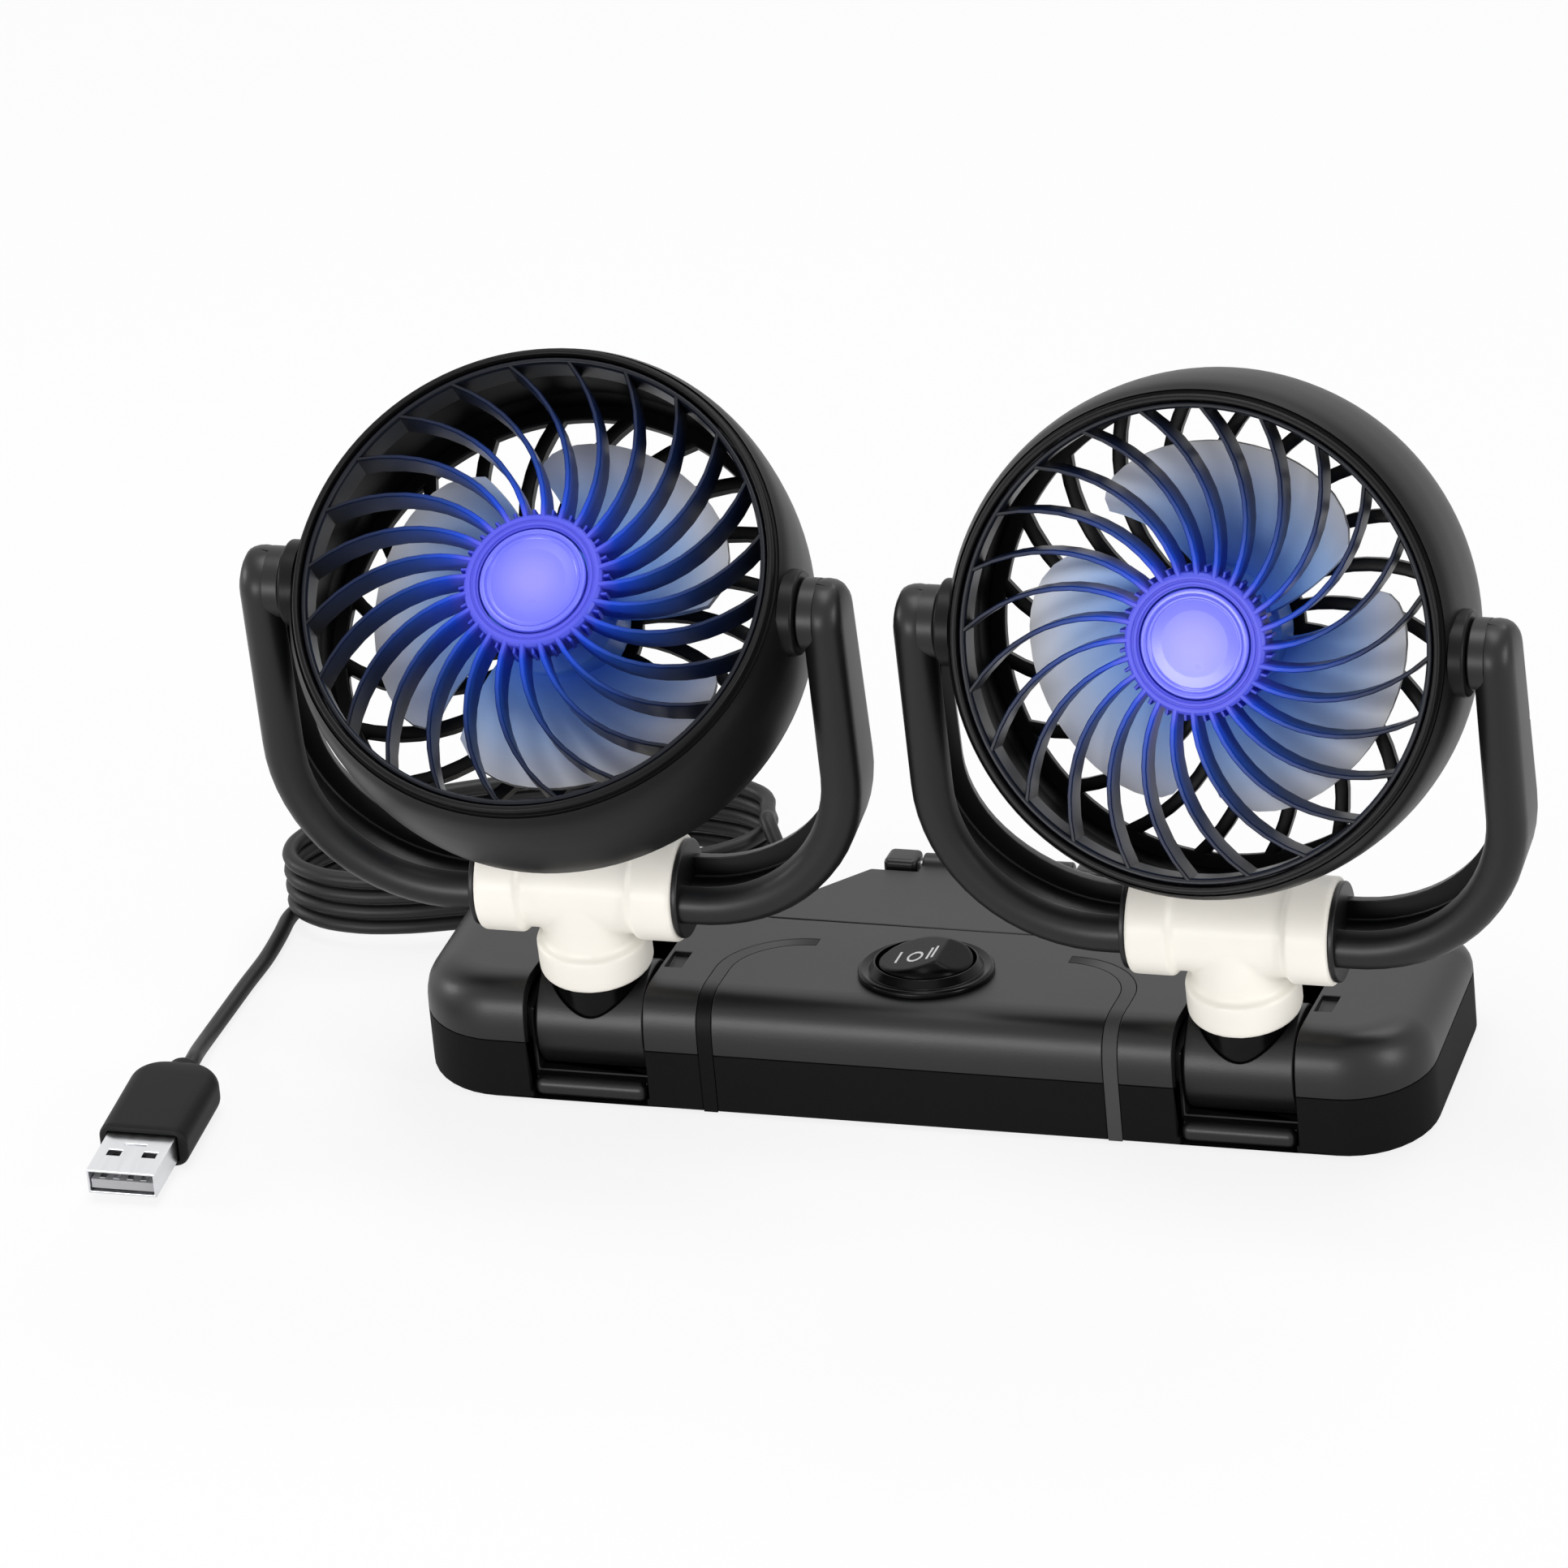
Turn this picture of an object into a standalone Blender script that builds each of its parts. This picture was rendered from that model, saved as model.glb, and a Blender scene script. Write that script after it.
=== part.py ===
# Dual head car fan: a low base with a round rocker switch, two folding knuckles that carry white pipe
# tees, a forked yoke on each tee, a tilting fan head in each yoke, and a coiled lead with a USB plug.
# Metres, +Z up, -Y is the front. The origin is the centre of the base on the surface it stands on.

import math

import bmesh
import bpy
from mathutils import Matrix, Vector


# Shared clearances and counts
gap = 0.0003                  # between pieces that touch or turn in each other
overrun = 0.002               # how far a cutter runs past what it cuts
round_steps = 28              # facets of a large turned piece
small_steps = 16              # facets of a pin, screw or small boss

# Base
base_depth = 0.0512
base_front = -base_depth / 2
base_rear = base_depth / 2
base_top_slope = math.radians(7.5)
base_floor = 0.0006           # how high the tray's rim stays above the surface
tray_floor = 0.0016           # thickness of the tray's floor
base_front_corner = 0.0145
base_rear_corner = 0.010
base_rounding = 0.0082        # how far the rounded rim reaches in from the side
base_wall = 0.002
corner_points = 4
rim_inset_shares = (0.0, 0.055, 0.17, 0.39, 0.68, 1.0)
rim_rise_shares = (0.0, 0.40, 0.72, 0.91, 0.985, 1.0)

# Grip pad under the tray
pad_inset = 0.004
pad_thickness = 0.001

# Knuckles, measured in a frame whose Z runs up the stem
knuckle_margin = 0.0121       # from the base's front to the knuckle pin
knuckle_y = base_front + knuckle_margin
barrel_radius = 0.0092
barrel_clearance = 0.0004     # between the barrel and the tray's floor
knuckle_z = base_floor + tray_floor + barrel_clearance + barrel_radius
seam_drop = 0.0001
base_parting = knuckle_z - seam_drop   # height of the seam between the top shell and the tray
shell_rise = 0.0096
base_height = knuckle_z + shell_rise   # top face at its front edge
stem_lean = math.radians(5.4)
barrel_width = 0.0190
pin_radius = 0.0015
pin_length = 0.0232
cradle_wall = 0.0018
cradle_margin = 0.0041        # from the base's front to the cradle's cheeks
cradle_front = base_front + cradle_margin
cradle_reach = 0.0115         # how far the cradle goes back from the pin
cradle_rear = knuckle_y + cradle_reach
cradle_ledge = 0.0043         # height of the ledge below the barrel
ledge_depth = 0.0022
slot_margin = 0.0006          # between the cradle's inner wall and the slot in the shell
slot_reach = 0.0145           # how far the slot in the shell goes back from the pin
slot_rear = knuckle_y + slot_reach
cradle_headroom = 0.0032      # below the top face, where the cradle's cheeks end
notch_width = 0.0030
notch_length = 0.0064
notch_offset = 0.0016
notch_setback = 0.0039
notch_y = knuckle_y + notch_setback
notch_depth = 0.0012

# Swivel post and tee
post_wall = 0.0014            # of the barrel round the post's foot
post_radius = barrel_radius - post_wall
post_bottom = 0.0038
post_step = 0.0020
post_top_radius = post_radius - post_step
tee_stem_gap = 0.0011
tee_stem_bottom = barrel_radius + tee_stem_gap
post_length = 0.0052          # thick stretch of the post inside the tee's stem
post_tip_length = 0.0045
post_shoulder = tee_stem_bottom + post_length
post_top = post_shoulder + post_tip_length
tee_run_rise = 0.0068
tee_axis = post_top + tee_run_rise     # height of the tee's run above the knuckle pin
tee_half_length = 0.0171
tee_tube_radius = 0.0081
tee_end_radius = 0.0091
tee_end_length = 0.0072
tee_stem_wall = 0.0025
tee_stem_radius = post_top_radius + tee_stem_wall
tee_stem_collar_wall = 0.0018
tee_stem_collar_radius = post_radius + tee_stem_collar_wall
tee_stem_collar_length = 0.0060
tee_bore_radius = 0.0069
tee_edge = 0.0007

# Head, yoke and base width: each follows from the housing's radius
housing_radius = 0.0430
housing_boss_stand = 0.0010   # how far the tilt bosses stand out of the housing
housing_boss_reach = housing_radius + housing_boss_stand
head_clearance = 0.0056       # between the housing and the tee's collars
pivot_height = tee_axis + tee_end_radius + head_clearance + housing_radius
pivot_side_gap = 0.0002       # between the bosses of the housing and the yoke
arm_boss_reach = 0.0005
arm_thickness = 0.0070
arm_middle = housing_boss_reach + pivot_side_gap + arm_boss_reach + arm_thickness / 2
arm_root_run = 0.0031         # straight stretch out of the tee before the bend
arm_bend_radius = arm_middle - tee_half_length - arm_root_run
yokes_apart = 0.0084          # between the two yokes
head_spacing = arm_middle * 2 + arm_thickness + yokes_apart
base_end_margin = 0.0311      # from a knuckle's middle to the base's end
base_width = head_spacing + base_end_margin * 2

# Yoke arms, measured from the stem's axis
arm_root_half_depth = 0.0076
arm_bend_half_depth = 0.0084
arm_tip_half_depth = 0.0061
arm_channel = 0.0036
arm_bar_depth = 0.0032        # how deep the bars along the channel are
arm_round_share = 0.45
arm_lip_share = 0.85
arm_spigot_length = 0.0070
arm_spigot_seat = 0.0015      # how far the spigot reaches into the arm's root
arm_bend_rings = 5
arm_straight_rings = 2
arm_tip_rings = 2
arm_boss_radius = 0.0060
tilt_pin_radius = 0.0020
tilt_pin_bore_depth = 0.0055
tilt_pin_housing_depth = 0.0020

# Fan head, measured along its own axis from the tilt axis, front first
left_head_tilt = math.radians(50.5)
right_head_tilt = math.radians(22.0)
rim_front = 0.0090
rim_step = 0.0022
rim_radius = housing_radius - rim_step
housing_rear = -0.0182
rear_step = 0.0014
housing_rear_radius = housing_radius - rear_step
housing_wall = 0.0018
rim_lip = 0.0012
housing_boss_radius = 0.0072
grille_ring_width = 0.0014
grille_depth = 0.0058
grille_recess = 0.0007        # how far the grille's face lies behind the rim
hub_radius = 0.0116
vane_count = 24
vane_width = 0.0011
vane_sweep = math.radians(30)
vane_root_width_share = 0.8
vane_points = 3
cap_radius = 0.0090
cap_thickness = 0.0016
rear_bar_count = 20
rear_bar_width = 0.0020
rear_bar_sweep = math.radians(-24)
rear_grille_depth = 0.0020
rear_hub_radius = 0.0125
rear_ring_width = 0.0016

# Impeller and motor
blade_count = 3
blade_clearance = 0.0086      # between the blades' tips and the housing's wall
blade_tip_radius = housing_rear_radius - housing_wall - blade_clearance
blade_thickness = 0.0011
blade_root_rise = 0.0080
blade_tip_rise = 0.0065
blade_root_span = math.radians(84)
blade_tip_span = math.radians(96)
blade_sweep = math.radians(22)
blade_cells = 4
left_blade_turn = math.radians(38)
right_blade_turn = math.radians(68)
impeller_middle = -0.0085
impeller_front = -0.0036
impeller_rear = -0.0140
impeller_radius = 0.0112
impeller_wall = 0.0010
impeller_nose_radius = 0.0025
motor_radius = 0.0094
motor_front = -0.0068
motor_edge = 0.0012
shaft_radius = 0.0010
shaft_nose = 0.0012
motor_boss_radius = 0.0030
motor_boss_length = 0.0028

# Rocker switch
switch_x = -0.0006
switch_margin = 0.0177        # from the base's front to the switch's middle
switch_y = base_front + switch_margin
bezel_radius = 0.0115
bezel_thickness = 0.0016
bezel_collar_radius = 0.0094
bezel_collar_height = 0.0030
switch_bore_radius = 0.0086
switch_barrel_radius = 0.0099
switch_barrel_depth = 0.0100
switch_cup_depth = 0.0060
rocker_radius = 0.0082
rocker_top_radius = 0.0066
rocker_shoulder = 0.0012      # height where the rocker's side begins to draw in
rocker_foot_radius = 0.0072
rocker_bottom = -0.0030
rocker_low = 0.0022
rocker_high = 0.0058
rocker_ridge_x = 0.0040

# Rear flap
flap_cover = 0.0156           # how far the flap reaches over the base
flap_overhang = 0.0096
flap_front = base_rear - flap_cover
flap_rear = base_rear + flap_overhang
flap_front_half_width = 0.0342
flap_rear_half_width = 0.0196
flap_corner = 0.0030
flap_thickness = 0.0018
flap_barrel_radius = 0.0022
flap_pin_radius = 0.0008
flap_lug_width = 0.0058
flap_tongue_thickness = 0.0015
flap_tongue_drop = 0.0002

# Speed board, standing behind the switch
board_length = 0.044
board_width = 0.012
board_thickness = 0.0014
board_rear_gap = 0.0011
board_y = base_rear - base_wall - board_rear_gap - board_width / 2
chip_length = 0.012
chip_width = 0.007
chip_height = 0.003

# Screws through the tray into the shell's bosses
outer_screw_inset = 0.0100    # from the base's end
outer_screw_setback = 0.0196  # from the base's rear
inner_screw_inset = 0.0249    # from the knuckle's middle
inner_screw_setback = 0.0216  # from the base's front
outer_screw_x = base_width / 2 - outer_screw_inset
outer_screw_y = base_rear - outer_screw_setback
inner_screw_x = head_spacing / 2 - inner_screw_inset
inner_screw_y = base_front + inner_screw_setback
screw_places = (
    (-outer_screw_x, outer_screw_y), (outer_screw_x, outer_screw_y),
    (-inner_screw_x, inner_screw_y), (inner_screw_x, inner_screw_y),
)
screw_radius = 0.0013
screw_head_radius = 0.0026
screw_length = 0.0100
boss_radius = 0.0030

# Lead
cable_diameter = 0.0026
coil_centre_x = -0.0840
coil_centre_y = 0.0385
coil_long_radius = 0.0400
coil_short_radius = 0.0173
coil_skew = 0.25              # rise in Y for each metre in X
coil_bump = 0.0060            # how far the front run bends back round the base's corner
coil_bump_middle = math.radians(276)
coil_bump_spread = math.radians(35)
coil_turns = 4.5
coil_points_per_turn = 24
route_steps = 12              # fine steps between two places on a free stretch of the cord
coil_pitch = 0.00306
cable_lift = 0.0001
relief_x = -0.0360
relief_z = 0.0072
relief_radius = 0.0026
relief_tip_radius = 0.0018
relief_length = 0.0065
relief_flange_radius = 0.0036
relief_flange = 0.0012

# USB plug, pointing to the front
plug_x = -0.1258
plug_y = -0.0290              # rear end of the plug's nose
plug_nose_length = 0.0026
plug_nose_radius = 0.0031
plug_width = 0.0156
plug_height = 0.0076
plug_length = 0.0220
plug_corner = 0.0026
shell_width = 0.0120
shell_height = 0.0045
shell_length = 0.0138
shell_wall = 0.0004
shell_seat = 0.0020
tongue_thickness = 0.0018
tongue_setback = 0.0012


# Scene helpers

def clear_scene():
    for item in list(bpy.data.objects):
        bpy.data.objects.remove(item, do_unlink=True)


def collection(name):
    found = bpy.data.collections.new(name)
    bpy.context.scene.collection.children.link(found)
    return found


def material(name, colour, roughness, metallic=0.0):
    made = bpy.data.materials.new(name)
    made.use_nodes = True
    shader = made.node_tree.nodes["Principled BSDF"]
    shader.inputs["Base Color"].default_value = (*colour, 1.0)
    shader.inputs["Roughness"].default_value = roughness
    shader.inputs["Metallic"].default_value = metallic
    return made


def place(name, data, parent, look=None, where=(0, 0, 0), turn=(0, 0, 0), keep=True):
    item = bpy.data.objects.new(name, data)
    (parts if keep else cutters).objects.link(item)
    item.parent = parent
    item.location = where
    item.rotation_euler = turn
    if look is not None and not data.materials:
        data.materials.append(look)
    if not keep:
        item.hide_render = True
        item.display_type = "WIRE"
    return item


def axis_empty(name, where, turn=(0, 0, 0), parent=None):
    item = bpy.data.objects.new(name, None)
    parts.objects.link(item)
    item.empty_display_size = barrel_radius
    item.parent = parent
    item.location = where
    item.rotation_euler = turn
    return item


def turned(name, profile, parent, look=None, steps=small_steps, closed=False, keep=True, **placing):
    # A turned piece: the profile (radius, height) runs down its outer side, and a Screw closes it.
    points = [Vector((radius, 0, height)) for radius, height in profile]
    edges = [(i, i + 1) for i in range(len(points) - 1)]
    if closed:
        edges.append((len(points) - 1, 0))
    mesh = bpy.data.meshes.new(name)
    mesh.from_pydata(points, edges, [])
    item = place(name, mesh, parent, look, keep=keep, **placing)
    screw = item.modifiers.new("turn", "SCREW")
    screw.angle = math.tau
    screw.steps = steps
    screw.render_steps = steps
    screw.use_merge_vertices = True
    screw.merge_threshold = 0.00001
    screw.use_smooth_shade = True
    return item


def rod(name, radius, bottom, top, parent, look=None, steps=small_steps, keep=True, **placing):
    profile = [(0, top), (radius, top), (radius, bottom), (0, bottom)]
    return turned(name, profile, parent, look, steps, keep=keep, **placing)


def block(name, low, high, parent, look=None, keep=True, bevel=0, bevel_steps=2, **placing):
    mesh = bpy.data.meshes.new(name)
    shape = bmesh.new()
    bmesh.ops.create_cube(shape, size=1)
    size = Vector(high) - Vector(low)
    middle = (Vector(high) + Vector(low)) / 2
    bmesh.ops.scale(shape, vec=size, verts=shape.verts)
    bmesh.ops.translate(shape, vec=middle, verts=shape.verts)
    shape.to_mesh(mesh)
    shape.free()
    item = place(name, mesh, parent, look, keep=keep, **placing)
    if bevel:
        add_bevel(item, bevel, bevel_steps)
    return item


def add_bevel(item, width, segments=2, limit=math.radians(40)):
    bevel = item.modifiers.new("edge", "BEVEL")
    bevel.width = width
    bevel.segments = segments
    bevel.limit_method = "ANGLE"
    bevel.angle_limit = limit


def cut(item, tool):
    step = item.modifiers.new("cut " + tool.name, "BOOLEAN")
    step.operation = "DIFFERENCE"
    step.object = tool


def join(item, other):
    step = item.modifiers.new("join " + other.name, "BOOLEAN")
    step.operation = "UNION"
    step.object = other


def keep_common(item, other):
    step = item.modifiers.new("common " + other.name, "BOOLEAN")
    step.operation = "INTERSECT"
    step.object = other


def loft(name, rings, parent, look=None, keep=True, **placing):
    # Closed rings of equal point count joined by quads, with a flat cap on the first and last ring.
    mesh = bpy.data.meshes.new(name)
    shape = bmesh.new()
    rows = [[shape.verts.new(point) for point in ring] for ring in rings]
    count = len(rings[0])
    for low, high in zip(rows, rows[1:]):
        for i in range(count):
            shape.faces.new((low[i], low[(i + 1) % count], high[(i + 1) % count], high[i]))
    shape.faces.new(list(reversed(rows[0])))
    shape.faces.new(rows[-1])
    bmesh.ops.recalc_face_normals(shape, faces=shape.faces)
    shape.to_mesh(mesh)
    shape.free()
    return place(name, mesh, parent, look, keep=keep, **placing)


def flat_outline(name, outlines, low, high, parent, look=None, keep=True, **placing):
    # A 2D curve of closed outlines, extruded between two heights and welded into a mesh.
    curve = bpy.data.curves.new(name, "CURVE")
    curve.dimensions = "2D"
    curve.fill_mode = "BOTH"
    curve.extrude = (high - low) / 2
    for outline in outlines:
        spline = curve.splines.new("POLY")
        spline.points.add(len(outline) - 1)
        for point, (x, y) in zip(spline.points, outline):
            point.co = (x, y, 0, 1)
        spline.use_cyclic_u = True
    return welded(name, curve, (low + high) / 2, parent, look, keep, **placing)


def welded(name, curve, lift, parent, look, keep, **placing):
    source = bpy.data.objects.new(name + "_curve", curve)
    bpy.context.scene.collection.objects.link(source)
    bpy.context.view_layer.update()
    graph = bpy.context.evaluated_depsgraph_get()
    mesh = bpy.data.meshes.new_from_object(source.evaluated_get(graph))
    mesh.name = name
    bpy.data.objects.remove(source, do_unlink=True)
    shape = bmesh.new()
    shape.from_mesh(mesh)
    bmesh.ops.remove_doubles(shape, verts=shape.verts, dist=0.00001)
    bmesh.ops.translate(shape, vec=(0, 0, lift), verts=shape.verts)
    bmesh.ops.recalc_face_normals(shape, faces=shape.faces)
    shape.to_mesh(mesh)
    shape.free()
    mesh.materials.clear()
    return place(name, mesh, parent, look, keep=keep, **placing)


def smooth(item, angle=math.radians(35)):
    if item.type == "MESH":
        item.data.shade_smooth()
        item.data.set_sharp_from_angle(angle=angle)


def arc_points(radius, start, end, count):
    return [
        (radius * math.cos(start + (end - start) * i / count), radius * math.sin(start + (end - start) * i / count))
        for i in range(count + 1)
    ]


# Base

def top_height(y):
    return base_height - (y - (base_rounding - base_depth / 2)) * math.tan(base_top_slope)


def base_outline(inset):
    # The plan of the base, pulled in evenly: round front corners, tighter rear corners.
    half_width = base_width / 2
    half_depth = base_depth / 2
    corners = (
        (half_width, -half_depth, base_front_corner, -math.pi / 2),
        (half_width, half_depth, base_rear_corner, 0),
        (-half_width, half_depth, base_rear_corner, math.pi / 2),
        (-half_width, -half_depth, base_front_corner, math.pi),
    )
    points = []
    for x, y, radius, start in corners:
        centre_x = x - math.copysign(radius, x)
        centre_y = y - math.copysign(radius, y)
        left = max(radius - inset, gap)
        shift = max(inset - radius + gap, 0)
        centre_x -= math.copysign(shift, x)
        centre_y -= math.copysign(shift, y)
        for i in range(corner_points + 1):
            angle = start + i / corner_points * math.pi / 2
            points.append((centre_x + left * math.cos(angle), centre_y + left * math.sin(angle)))
    return points


def base_rings(bottom, inset, drop, shares):
    # Rings from a flat bottom edge up over the rounded rim to the sloping top face.
    rings = [[(x, y, bottom) for x, y in base_outline(inset)]]
    for inset_share, rise_share in shares:
        ring = []
        for x, y in base_outline(inset + inset_share * base_rounding):
            roof = top_height(y) - drop
            start = max(bottom, base_parting)
            ring.append((x, y, start + (roof - start) * rise_share))
        rings.append(ring)
    return rings


def flap_outline(margin):
    front = flap_front - margin
    rear = flap_rear + margin
    half_front = flap_front_half_width + margin
    half_rear = flap_rear_half_width + margin
    return [
        (-half_front + flap_corner, front),
        (half_front - flap_corner, front),
        (half_front, front + flap_corner),
        (half_front - gap, front + flap_corner + flap_corner / 2),
        (half_rear, rear),
        (-half_rear, rear),
        (-half_front + gap, front + flap_corner + flap_corner / 2),
        (-half_front, front + flap_corner),
    ]


def sloped(item):
    # Lays a piece drawn flat at height zero on the base's sloping top face.
    item.rotation_euler = (-base_top_slope, 0, 0)
    item.location = (0, 0, top_height(0))


def make_knuckle_slots(item, bottom, label):
    half = barrel_width / 2 + gap + slot_margin
    for side in (-1, 1):
        middle = side * head_spacing / 2
        tool = block(
            f"{label}_slot_{'left' if side < 0 else 'right'}",
            (middle - half, -base_depth / 2 - overrun, bottom),
            (middle + half, slot_rear, base_height + overrun),
            None, keep=False,
        )
        cut(item, tool)


def make_top_shell():
    shares = list(zip(rim_inset_shares, rim_rise_shares))
    rings = base_rings(base_parting + gap / 2, 0, 0, shares)[1:]
    shell = loft("base_top_shell", rings, None, satin_black)
    inner = [ring for ring in base_rings(base_parting - overrun, base_wall, base_wall, shares[1:])]
    hollow = loft("shell_hollow", inner, None, keep=False)
    pocket_floor = flat_outline(
        "flap_pocket_floor", [flap_outline(base_wall)], -flap_thickness - gap - base_wall, overrun, None, keep=False)
    sloped(pocket_floor)
    cut(hollow, pocket_floor)
    cut(shell, hollow)
    tongue = make_flap_tongue()
    join(shell, tongue)
    pocket = flat_outline("flap_pocket", [flap_outline(gap)], -flap_thickness - gap, overrun, None, keep=False)
    sloped(pocket)
    cut(shell, pocket)
    cut(shell, make_lug_clearance())
    make_knuckle_slots(shell, base_parting - overrun, "shell")
    for number, (x, y) in enumerate(screw_places, 1):
        top = top_height(y) - base_wall / 2
        bottom = base_floor + tray_floor + gap
        bore_top = pad_thickness + screw_length + overrun / 2
        profile = [
            (0, top), (boss_radius, top), (boss_radius, bottom), (screw_radius + gap, bottom),
            (screw_radius + gap, bore_top), (0, bore_top),
        ]
        join(shell, turned(f"shell_boss_{number}", profile, None, steps=12, keep=False, where=(x, y, 0)))
    hole = rod("switch_hole", switch_barrel_radius + gap, -switch_barrel_depth, overrun, None,
               steps=round_steps, keep=False)
    seat_on_top(hole)
    cut(shell, hole)
    for side in (-1, 1):
        left = side * head_spacing / 2 + barrel_width / 2 + notch_offset
        notch = block(f"pin_notch_{'left' if side < 0 else 'right'}",
                      (left, notch_y - notch_length / 2, top_height(notch_y) - notch_depth),
                      (left + notch_width, notch_y + notch_length / 2, base_height + overrun), None, keep=False)
        cut(shell, notch)
    return shell


def seat_on_top(item):
    # Stands a turned piece of the switch square on the sloping top face.
    item.rotation_euler = (-base_top_slope, 0, 0)
    item.location = (switch_x, switch_y, top_height(switch_y))


def flap_axis():
    # The flap's hinge, in the sloping top face's own coordinates: distance back, and height.
    return flap_rear + flap_barrel_radius, -flap_thickness / 2


def make_flap_tongue():
    # A shelf under the overhanging flap, with a lug at each side that holds the hinge pin.
    back, height = flap_axis()
    reach = base_depth / 2 - base_wall - base_rounding
    shelf_top = -flap_thickness - gap - flap_tongue_drop
    half = flap_rear_half_width
    shelf = block("flap_tongue", (-half, reach, shelf_top - flap_tongue_thickness),
                  (half, back - flap_barrel_radius - gap * 2, shelf_top), None, keep=False)
    for name, start in (("left", -half), ("right", half - flap_lug_width)):
        lug = block(f"flap_lug_{name}", (start, back - flap_barrel_radius * 1.5, shelf_top - flap_tongue_thickness),
                    (start + flap_lug_width, back + flap_barrel_radius, height + flap_barrel_radius), None, keep=False)
        join(shelf, lug)
    bore = rod("flap_pin_bore", flap_pin_radius + gap, -half - overrun, half + overrun, None, keep=False,
               where=(0, back, height), turn=(0, math.pi / 2, 0), steps=8)
    cut(shelf, bore)
    sloped(shelf)
    for item in cutters.objects:
        if item.name.startswith("flap_lug_") or item.name == "flap_pin_bore":
            lay_in_slope(item)
    return shelf


def lay_in_slope(item):
    # Turns a piece drawn in the top face's coordinates into the base's own.
    slope = Matrix.Translation((0, 0, top_height(0))) @ Matrix.Rotation(-base_top_slope, 4, "X")
    bpy.context.view_layer.update()
    item.matrix_world = slope @ item.matrix_basis


def make_lug_clearance():
    back, height = flap_axis()
    half = flap_rear_half_width - flap_lug_width
    tool = block("flap_barrel_clearance", (-half + gap, back - flap_barrel_radius * 2, height - flap_barrel_radius * 2),
                 (half - gap, back + flap_barrel_radius * 2, height + flap_barrel_radius * 2), None, keep=False)
    lay_in_slope(tool)
    return tool


def make_flap(axis):
    back, height = flap_axis()
    outline = flap_outline(0)
    plate = flat_outline("rear_flap", [outline], -flap_thickness, 0, None, satin_black)
    half = flap_rear_half_width - flap_lug_width - gap * 2
    barrel = rod("flap_barrel", flap_barrel_radius, -half, half, None, steps=12, keep=False,
                 where=(0, back, height), turn=(0, math.pi / 2, 0))
    web = block("flap_web", (-half, flap_rear - flap_corner, -flap_thickness), (half, back, 0), None, keep=False)
    lug_room = [
        block(f"flap_lug_room_{name}", (start, back - flap_barrel_radius * 2 - gap, -flap_thickness - overrun),
              (end, back + flap_barrel_radius * 2, overrun), None, keep=False)
        for name, start, end in (
            ("left", -flap_rear_half_width * 2, -half - gap), ("right", half + gap, flap_rear_half_width * 2))
    ]
    for tool in lug_room:
        cut(plate, tool)
    join(plate, web)
    join(plate, barrel)
    bore = rod("flap_bore", flap_pin_radius + gap, -half - overrun, half + overrun, None, steps=8, keep=False,
               where=(0, back, height), turn=(0, math.pi / 2, 0))
    cut(plate, bore)
    for item in (barrel, web, bore, *lug_room):
        lay_in_slope(item)
    sloped(plate)
    pin = rod("rear_flap_pin", flap_pin_radius, -flap_rear_half_width + gap, flap_rear_half_width - gap, None,
              steel, steps=8, where=(0, back, height), turn=(0, math.pi / 2, 0))
    lay_in_slope(pin)
    return plate


def make_tray():
    rings = [
        [(x, y, base_floor) for x, y in base_outline(0)],
        [(x, y, base_parting - gap / 2) for x, y in base_outline(0)],
    ]
    tray = loft("base_bottom_tray", rings, None, matt_black)
    hollow = loft(
        "tray_hollow",
        [
            [(x, y, base_floor + tray_floor) for x, y in base_outline(base_wall)],
            [(x, y, base_parting + overrun) for x, y in base_outline(base_wall)],
        ],
        None, keep=False,
    )
    cut(tray, hollow)
    recess = loft(
        "pad_recess",
        [
            [(x, y, -overrun) for x, y in base_outline(pad_inset - gap)],
            [(x, y, pad_thickness + gap) for x, y in base_outline(pad_inset - gap)],
        ],
        None, keep=False,
    )
    cut(tray, recess)
    make_knuckle_slots(tray, base_floor + tray_floor, "tray")
    for number, (x, y) in enumerate(screw_places, 1):
        hole = rod(f"tray_screw_hole_{number}", screw_radius + gap, 0, base_parting, None, steps=10, keep=False,
                   where=(x, y, 0))
        cut(tray, hole)
    entry = rod("relief_hole", relief_radius + gap, base_depth / 2 - base_wall - overrun, base_depth / 2 + overrun,
                None, keep=False, where=(relief_x, 0, relief_z), turn=(-math.pi / 2, 0, 0))
    cut(tray, entry)
    return tray


def make_pad():
    rings = [[(x, y, z) for x, y in base_outline(pad_inset)] for z in (0, pad_thickness)]
    pad = loft("base_grip_pad", rings, None, rubber)
    for number, (x, y) in enumerate(screw_places, 1):
        hole = rod(f"pad_screw_hole_{number}", screw_head_radius + gap * 2, -overrun, base_parting, None,
                   steps=10, keep=False, where=(x, y, 0))
        cut(pad, hole)
    return pad


def make_screws():
    top = pad_thickness
    for number, (x, y) in enumerate(screw_places, 1):
        profile = [
            (0, top + screw_length), (screw_radius, top + screw_length - screw_radius), (screw_radius, top),
            (screw_head_radius, top), (screw_head_radius, gap), (0, gap),
        ]
        turned(f"base_screw_{number}", profile, None, steel, steps=10, where=(x, y, 0))


def make_board():
    low = base_floor + tray_floor + gap
    board = block("speed_board", (-board_length / 2, board_y - board_width / 2, low),
                  (board_length / 2, board_y + board_width / 2, low + board_thickness), None, board_green)
    chip = block("speed_chip", (-chip_length / 2, board_y - chip_width / 2, low + board_thickness / 2),
                 (chip_length / 2, board_y + chip_width / 2, low + board_thickness + chip_height), None, keep=False)
    join(board, chip)
    return board


# Rocker switch

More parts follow.
